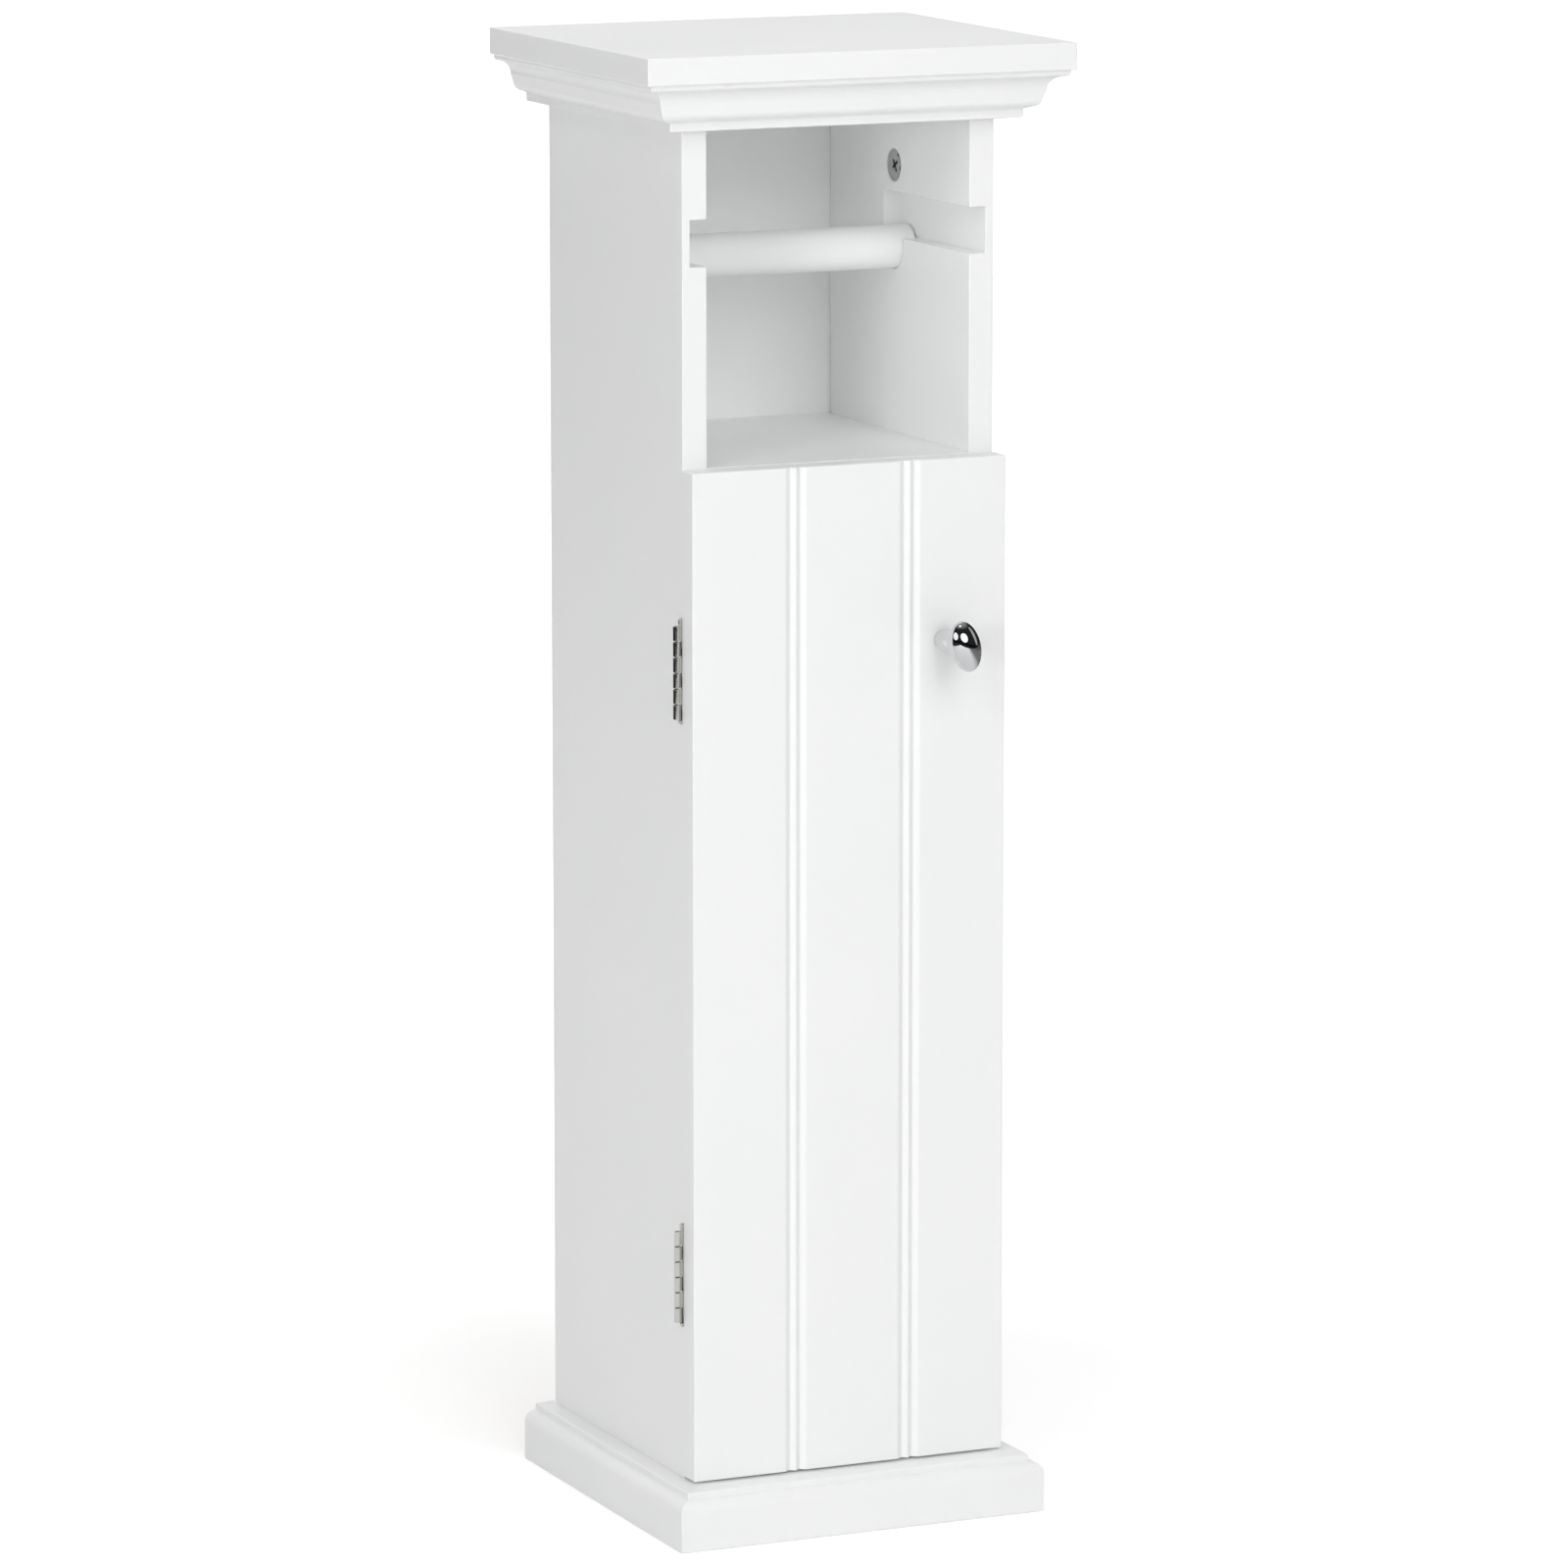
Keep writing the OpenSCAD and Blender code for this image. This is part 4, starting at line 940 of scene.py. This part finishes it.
for slot, (name, dark, light, smoothest, roughest, cloud, grit, deep, shade_reach) in METALS.items():
    metals[slot], tree, place = new_material(name)
    clouds = add_node(tree, "TexNoise", None, {"Vector": place, "Scale": 1 / (cloud * MM),
                                               "Detail": 4.0, "Roughness": 0.6})
    grains = add_node(tree, "TexNoise", None, {"Vector": place, "Scale": 1 / (grit * MM)})
    colour = add_node(tree, "Mix", {"data_type": "RGBA"},
                      {0: clouds.outputs["Fac"], 6: linear(dark), 7: linear(light)})
    # Painted shade: where a point is closed in, the colour is mixed towards the dark grey.
    crevice = add_node(tree, "AmbientOcclusion", {"samples": 8}, {"Distance": shade_reach * MM})
    open_air = add_node(tree, "MapRange", None, {"Value": crevice.outputs["AO"], "From Min": 0.25,
                                                 "From Max": 0.75, "To Min": 0.06})
    colour = add_node(tree, "Mix", {"data_type": "RGBA"},
                      {0: open_air.outputs[0], 6: linear(CREVICE_SHADE_GREY), 7: colour.outputs[2]})
    rough = add_node(tree, "MapRange", None, {"Value": clouds.outputs["Fac"], "From Min": 0.3,
                                              "From Max": 0.7, "To Min": smoothest,
                                              "To Max": roughest})
    relief = add_node(tree, "Bump", None, {"Strength": 0.5, "Distance": deep * MM,
                                           "Height": grains.outputs["Fac"]})
    plate = add_node(tree, "BsdfPrincipled", None, {
        "Base Color": colour.outputs[2], "Metallic": 1.0, "Roughness": rough.outputs[0],
        "Normal": relief.outputs[0]})
    add_node(tree, "OutputMaterial", None, {"Surface": plate.outputs[0]})
print("metals:", [m.name for m in metals.values()])

# %% [markdown]
# ## Moulded plastic and ferrite
# The catch's housing is white acetal with the fine spark texture of its mould. The magnet
# is sintered ferrite: almost black, matt, with grey grinding marks, for which a noise is
# stretched along the grinding. Both textures are drawn coarser than they are, or they
# would not show.

# %% Make the plastic
ACETAL_WHITE, ACETAL_SHADE = "#EFEFEC", "#E4E4DF"
SPARK, FLOW = 0.0005, 0.02  # the mould's texture and the cloudiness in the plastic, in metres
acetal, tree, place = new_material("white_moulded_acetal")
spark = add_node(tree, "TexNoise", None, {"Vector": place, "Scale": 1 / SPARK, "Detail": 3.0})
flow = add_node(tree, "TexNoise", None, {"Vector": place, "Scale": 1 / FLOW})
colour = add_node(tree, "Mix", {"data_type": "RGBA"},
                  {0: flow.outputs["Fac"], 6: linear(ACETAL_WHITE), 7: linear(ACETAL_SHADE)})
relief = add_node(tree, "Bump", None, {"Strength": 0.4, "Distance": 0.00004,
                                       "Height": spark.outputs["Fac"]})
moulding = add_node(tree, "BsdfPrincipled", None, {
    "Base Color": colour.outputs[2], "Roughness": 0.46, "IOR": 1.48, "Normal": relief.outputs[0]})
add_node(tree, "OutputMaterial", None, {"Surface": moulding.outputs[0]})
print("acetal nodes:", len(tree.nodes))

# %% Make the ferrite
FERRITE_DARK, FERRITE_LIGHT = "#242427", "#4A4A4E"
GRIND = 0.0003  # from mark to mark, in metres
ferrite, tree, place = new_material("sintered_ferrite")
ground = add_node(tree, "Mapping", None, {"Vector": place, "Scale": (0.05, 1, 1)})
marks = add_node(tree, "TexNoise", None, {"Vector": ground.outputs[0], "Scale": 1 / GRIND,
                                          "Detail": 4.0})
colour = add_node(tree, "Mix", {"data_type": "RGBA"},
                  {0: marks.outputs["Fac"], 6: linear(FERRITE_DARK), 7: linear(FERRITE_LIGHT)})
relief = add_node(tree, "Bump", None, {"Strength": 0.4, "Distance": 0.00003,
                                       "Height": marks.outputs["Fac"]})
sinter = add_node(tree, "BsdfPrincipled", None, {
    "Base Color": colour.outputs[2], "Roughness": 0.66, "Normal": relief.outputs[0]})
add_node(tree, "OutputMaterial", None, {"Surface": sinter.outputs[0]})
print("ferrite nodes:", len(tree.nodes))

# %% [markdown]
# ## Paint everything
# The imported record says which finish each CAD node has, and each new piece named the same
# slots above. So one table from slot to material paints both. A CAD node keeps its mesh,
# and only the material in its slots changes.

# %% Assign the materials
FINISH = {"white_paint": lacquer, "back_board": hardboard, "bare_beech": beech,
          "catch_plastic": acetal, "ferrite": ferrite, **metals}
painted = 0
node_slot = {row["node"]: row["material_slot"] for row in frame["record"]["subparts"]}
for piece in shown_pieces():
    slot = piece.get("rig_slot") or node_slot[piece["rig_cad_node"]]
    if not piece.material_slots:
        piece.data.materials.append(FINISH[slot])
    for material_slot in piece.material_slots:
        material_slot.material = FINISH[slot]
    painted += 1
print("painted pieces:", painted)

# %% [markdown]
# # The studio
# A sheet of white paper that the cabinet stands on, in a white surround. For light the
# paper is an ordinary white surface, so it keeps the cabinet's soft shadow. To the camera
# it also glows a little, and more so further out, so that it reads as white paper right to
# the picture's edge. In metal it glows less, because there its own white is enough.

# %% The paper floor
FLOOR_SIDE, FLOOR_BELOW = 60, 0.0002  # metres; a hair lower, so that no two faces coincide
bpy.ops.object.select_all(action="DESELECT")
bpy.ops.mesh.primitive_plane_add(size=FLOOR_SIDE, location=(0, 0, -FLOOR_BELOW))
floor = named("paper_floor")
PAPER_DARK, PAPER_LIGHT, TOOTH = "#EFEFEF", "#F3F3F3", 0.004
GLOW_NEAR, GLOW_FAR, GLOW_IN_METAL = 0.35, 1.0, 0.1
NEAR_M, FAR_M = 0.3, 1.3  # how far from the cabinet's middle the glow starts and ends to grow
paper, tree, place = new_material("white_paper")
tooth = add_node(tree, "TexNoise", None, {"Vector": place, "Scale": 1 / TOOTH})
pulp = add_node(tree, "Mix", {"data_type": "RGBA"},
                {0: tooth.outputs["Fac"], 6: linear(PAPER_DARK), 7: linear(PAPER_LIGHT)})
sheet = add_node(tree, "BsdfDiffuse", None, {"Color": pulp.outputs[2]})
away = add_node(tree, "VectorMath", {"operation": "LENGTH"}, {0: place})
glow_here = add_node(tree, "MapRange", None, {"Value": away.outputs["Value"], "From Min": NEAR_M,
                                              "From Max": FAR_M, "To Min": GLOW_NEAR,
                                              "To Max": GLOW_FAR})
rays = add_node(tree, "LightPath")
plain = add_node(tree, "Math", {"operation": "MAXIMUM"},
                 {0: rays.outputs["Is Camera Ray"], 1: rays.outputs["Is Transmission Ray"]})
seen = add_node(tree, "Math", {"operation": "MULTIPLY_ADD"},
                {0: rays.outputs["Is Glossy Ray"], 1: GLOW_IN_METAL, 2: plain.outputs[0]})
strength = add_node(tree, "Math", {"operation": "MULTIPLY"},
                    {0: seen.outputs[0], 1: glow_here.outputs[0]})
glow = add_node(tree, "Emission", None, {"Color": (1, 1, 1, 1), "Strength": strength.outputs[0]})
both = add_node(tree, "AddShader", None, {0: sheet.outputs[0], 1: glow.outputs[0]})
print("paper glows from", GLOW_NEAR, "to", GLOW_FAR, "for the camera")

# %% [markdown]
# Metal mirrors the whole studio, and a studio is only white where it has to be: the sheet
# ends two metres in front, a little over one to the left and less than half a metre to the
# right, and the room beyond it is dark. That dark band between paper and ceiling is what
# makes chrome look like chrome. A smaller sheet would show its edges to the camera, so the
# paper fades out past these lines for mirrored rays alone.

# %% Where the paper ends, as metal mirrors it
PAPER_END, PAPER_RIGHT, PAPER_LEFT = 2.0, 0.4, 1.1
FADE_END, FADE_RIGHT, FADE_LEFT, FADED_RIGHT = 0.4, 0.5, 0.3, 0.75
DARK_ROOM = 0.02
paper_axes = add_node(tree, "SeparateXYZ", None, {0: place})
off_paper = add_node(tree, "MapRange", None, {"Value": paper_axes.outputs["Y"],
                                              "From Min": -PAPER_END,
                                              "From Max": -PAPER_END - FADE_END})
off_right = add_node(tree, "MapRange", None, {"Value": paper_axes.outputs["X"],
                                              "From Min": PAPER_RIGHT,
                                              "From Max": PAPER_RIGHT + FADE_RIGHT,
                                              "To Max": FADED_RIGHT})
off_left = add_node(tree, "MapRange", None, {"Value": paper_axes.outputs["X"],
                                             "From Min": -PAPER_LEFT,
                                             "From Max": -PAPER_LEFT - FADE_LEFT})
off_side = add_node(tree, "Math", {"operation": "MAXIMUM"},
                    {0: off_left.outputs[0], 1: off_right.outputs[0]})
off_either = add_node(tree, "Math", {"operation": "MAXIMUM"},
                      {0: off_paper.outputs[0], 1: off_side.outputs[0]})
gone = add_node(tree, "Math", {"operation": "MULTIPLY"},
                {0: rays.outputs["Is Glossy Ray"], 1: off_either.outputs[0]})
dark_floor = add_node(tree, "BsdfDiffuse", None, {"Color": (DARK_ROOM,) * 3 + (1,)})
mirrored = add_node(tree, "MixShader", None,
                    {0: gone.outputs[0], 1: both.outputs[0], 2: dark_floor.outputs[0]})
add_node(tree, "OutputMaterial", None, {"Surface": mirrored.outputs[0]})
floor.data.materials.append(paper)
print("paper nodes:", len(tree.nodes))

# %% [markdown]
# The world lies beyond the paper, and each kind of ray gets its own. To the camera it is
# plain white. As light it is one even tone from all sides, which fills the shadows as a
# white room does. Metal mirrors white behind the cabinet, a grey ceiling and the dark room
# around. Walls round the set could do the same, but they would bounce light back onto it.

# %% The world
ROOM_LIGHT, CEILING = 0.26, 0.3
world = bpy.data.worlds.new("studio")
bpy.context.scene.world = world
world.use_nodes = True
tree = world.node_tree
tree.nodes.clear()
rays = add_node(tree, "LightPath")
heading = add_node(tree, "TexCoord")
towards = add_node(tree, "SeparateXYZ", None, {0: heading.outputs["Generated"]})
backdrop = add_node(tree, "MapRange", None, {"Value": towards.outputs["Y"], "From Min": 0.6,
                                             "From Max": 0.85})
overhead = add_node(tree, "MapRange", None, {"Value": towards.outputs["Z"], "From Min": 0.65,
                                             "From Max": 0.9})
grey = add_node(tree, "Mix", {"data_type": "RGBA"},
                {0: overhead.outputs[0], 6: (DARK_ROOM,) * 3 + (1,), 7: (CEILING,) * 3 + (1,)})
mirror = add_node(tree, "Mix", {"data_type": "RGBA"},
                  {0: backdrop.outputs[0], 6: grey.outputs[2], 7: (1, 1, 1, 1)})
plain = add_node(tree, "Math", {"operation": "MAXIMUM"},
                 {0: rays.outputs["Is Camera Ray"], 1: rays.outputs["Is Transmission Ray"]})
lit = add_node(tree, "Mix", {"data_type": "RGBA"},
               {0: plain.outputs[0], 6: (ROOM_LIGHT,) * 3 + (1,), 7: (1, 1, 1, 1)})
room = add_node(tree, "Mix", {"data_type": "RGBA"},
                {0: rays.outputs["Is Glossy Ray"], 6: lit.outputs[2], 7: mirror.outputs[2]})
sky = add_node(tree, "Background", None, {"Color": room.outputs[2], "Strength": 1.0})
add_node(tree, "OutputWorld", None, {"Surface": sky.outputs[0]})
print("room light:", ROOM_LIGHT, "dark room in metal:", DARK_ROOM)

# %% [markdown]
# ## Lamps
# Chrome shows every lamp as a shape, so four softboxes stand where the knob has its lights:
# two broad ovals, in front and at the left, a tall strip at the right and a spark high up.
# Most of the light comes from six plainer lamps, which are left out of mirrored rays so
# that the chrome stays clear. Two at the left light the flank and the niche, one in front
# reaches the niche's depth, one lights the top, and two keep the right side and the back
# from falling dark in the other views. A single large lamp would be simpler, but each face
# has its own tone, and a lamp for each lets it be set. White paint bounces light on and on
# inside the niche, so light may bounce eight times.

# %% Softboxes
TARGET, LAMP_AWAY = Vector((0, 0, 0.36)), 3.0
LAMPS = (
    # name, azimuth, elevation, width, height, watts, seen in metal
    ("front_softbox", -2, 13, 2.3, 1.3, 10.8, True),
    ("left_softbox", -66, 12, 2.6, 1.3, 10.4, True),
    ("right_strip", 70, 20, 1.2, 2.2, 2.9, True),
    ("high_spark", -27, 63, 0.7, 0.7, 3, True),
    ("left_lamp", -50, 38, 1.0, 1.0, 10, False),
    ("low_lamp", -51, 8, 0.8, 0.8, 12.8, False),
    ("front_lamp", 1, 33, 1.8, 1.8, 20, False),
    ("top_lamp", 0, 88, 1.2, 1.2, 18, False),
    ("right_lamp", 105, 12, 1.5, 1.5, 14, False),
    ("back_lamp", 178, 24, 1.8, 1.8, 15, False),
)


def softbox(name, azimuth, elevation, width, height, watts, in_metal):
    """A round lamp that faces the cabinet. Azimuth 0 is in front and grows to the right."""
    a, e = math.radians(azimuth), math.radians(elevation)
    away = Vector((math.sin(a) * math.cos(e), -math.cos(a) * math.cos(e), math.sin(e)))
    data = bpy.data.lights.new(name, "AREA")
    data.shape, data.size, data.size_y, data.energy = "ELLIPSE", width, height, watts
    lamp = bpy.data.objects.new(name, data)
    bpy.context.scene.collection.objects.link(lamp)
    lamp.location = TARGET + away * LAMP_AWAY
    lamp.rotation_euler = away.to_track_quat("Z", "Y").to_euler()
    lamp.visible_glossy = in_metal


for row in LAMPS:
    softbox(*row)
bpy.context.scene.cycles.diffuse_bounces = 8
print("lamps:", len(LAMPS))

# %% [markdown]
# ## Camera
# The picture was taken from far away with a long lens, from the left and a little above.
# Position, direction and lens come from matching the corners of the slab, the door and the
# plinth. A level camera with a lens shift would keep the uprights parallel, but the shift
# would push the cabinet out of the other views, so the camera looks down and has none.

# %% Place the camera
CAMERA_AT, YAW, PITCH, LENS = (-1506.6, -3360.7, 983.7), 24.128, 10.042, 187.78
camera_data = bpy.data.cameras.new("camera")
camera_data.sensor_width, camera_data.lens = 36, LENS
camera_data.clip_start, camera_data.clip_end = 0.1, 100
camera = bpy.data.objects.new("camera", camera_data)
bpy.context.scene.collection.objects.link(camera)
camera.location = Vector(CAMERA_AT) * MM
camera.rotation_euler = (math.radians(90 - PITCH), 0, math.radians(-YAW))
bpy.context.scene.camera = camera
bpy.context.scene.view_settings.view_transform = "Standard"
print("camera at", CAMERA_AT, "mm, lens", LENS, "mm")
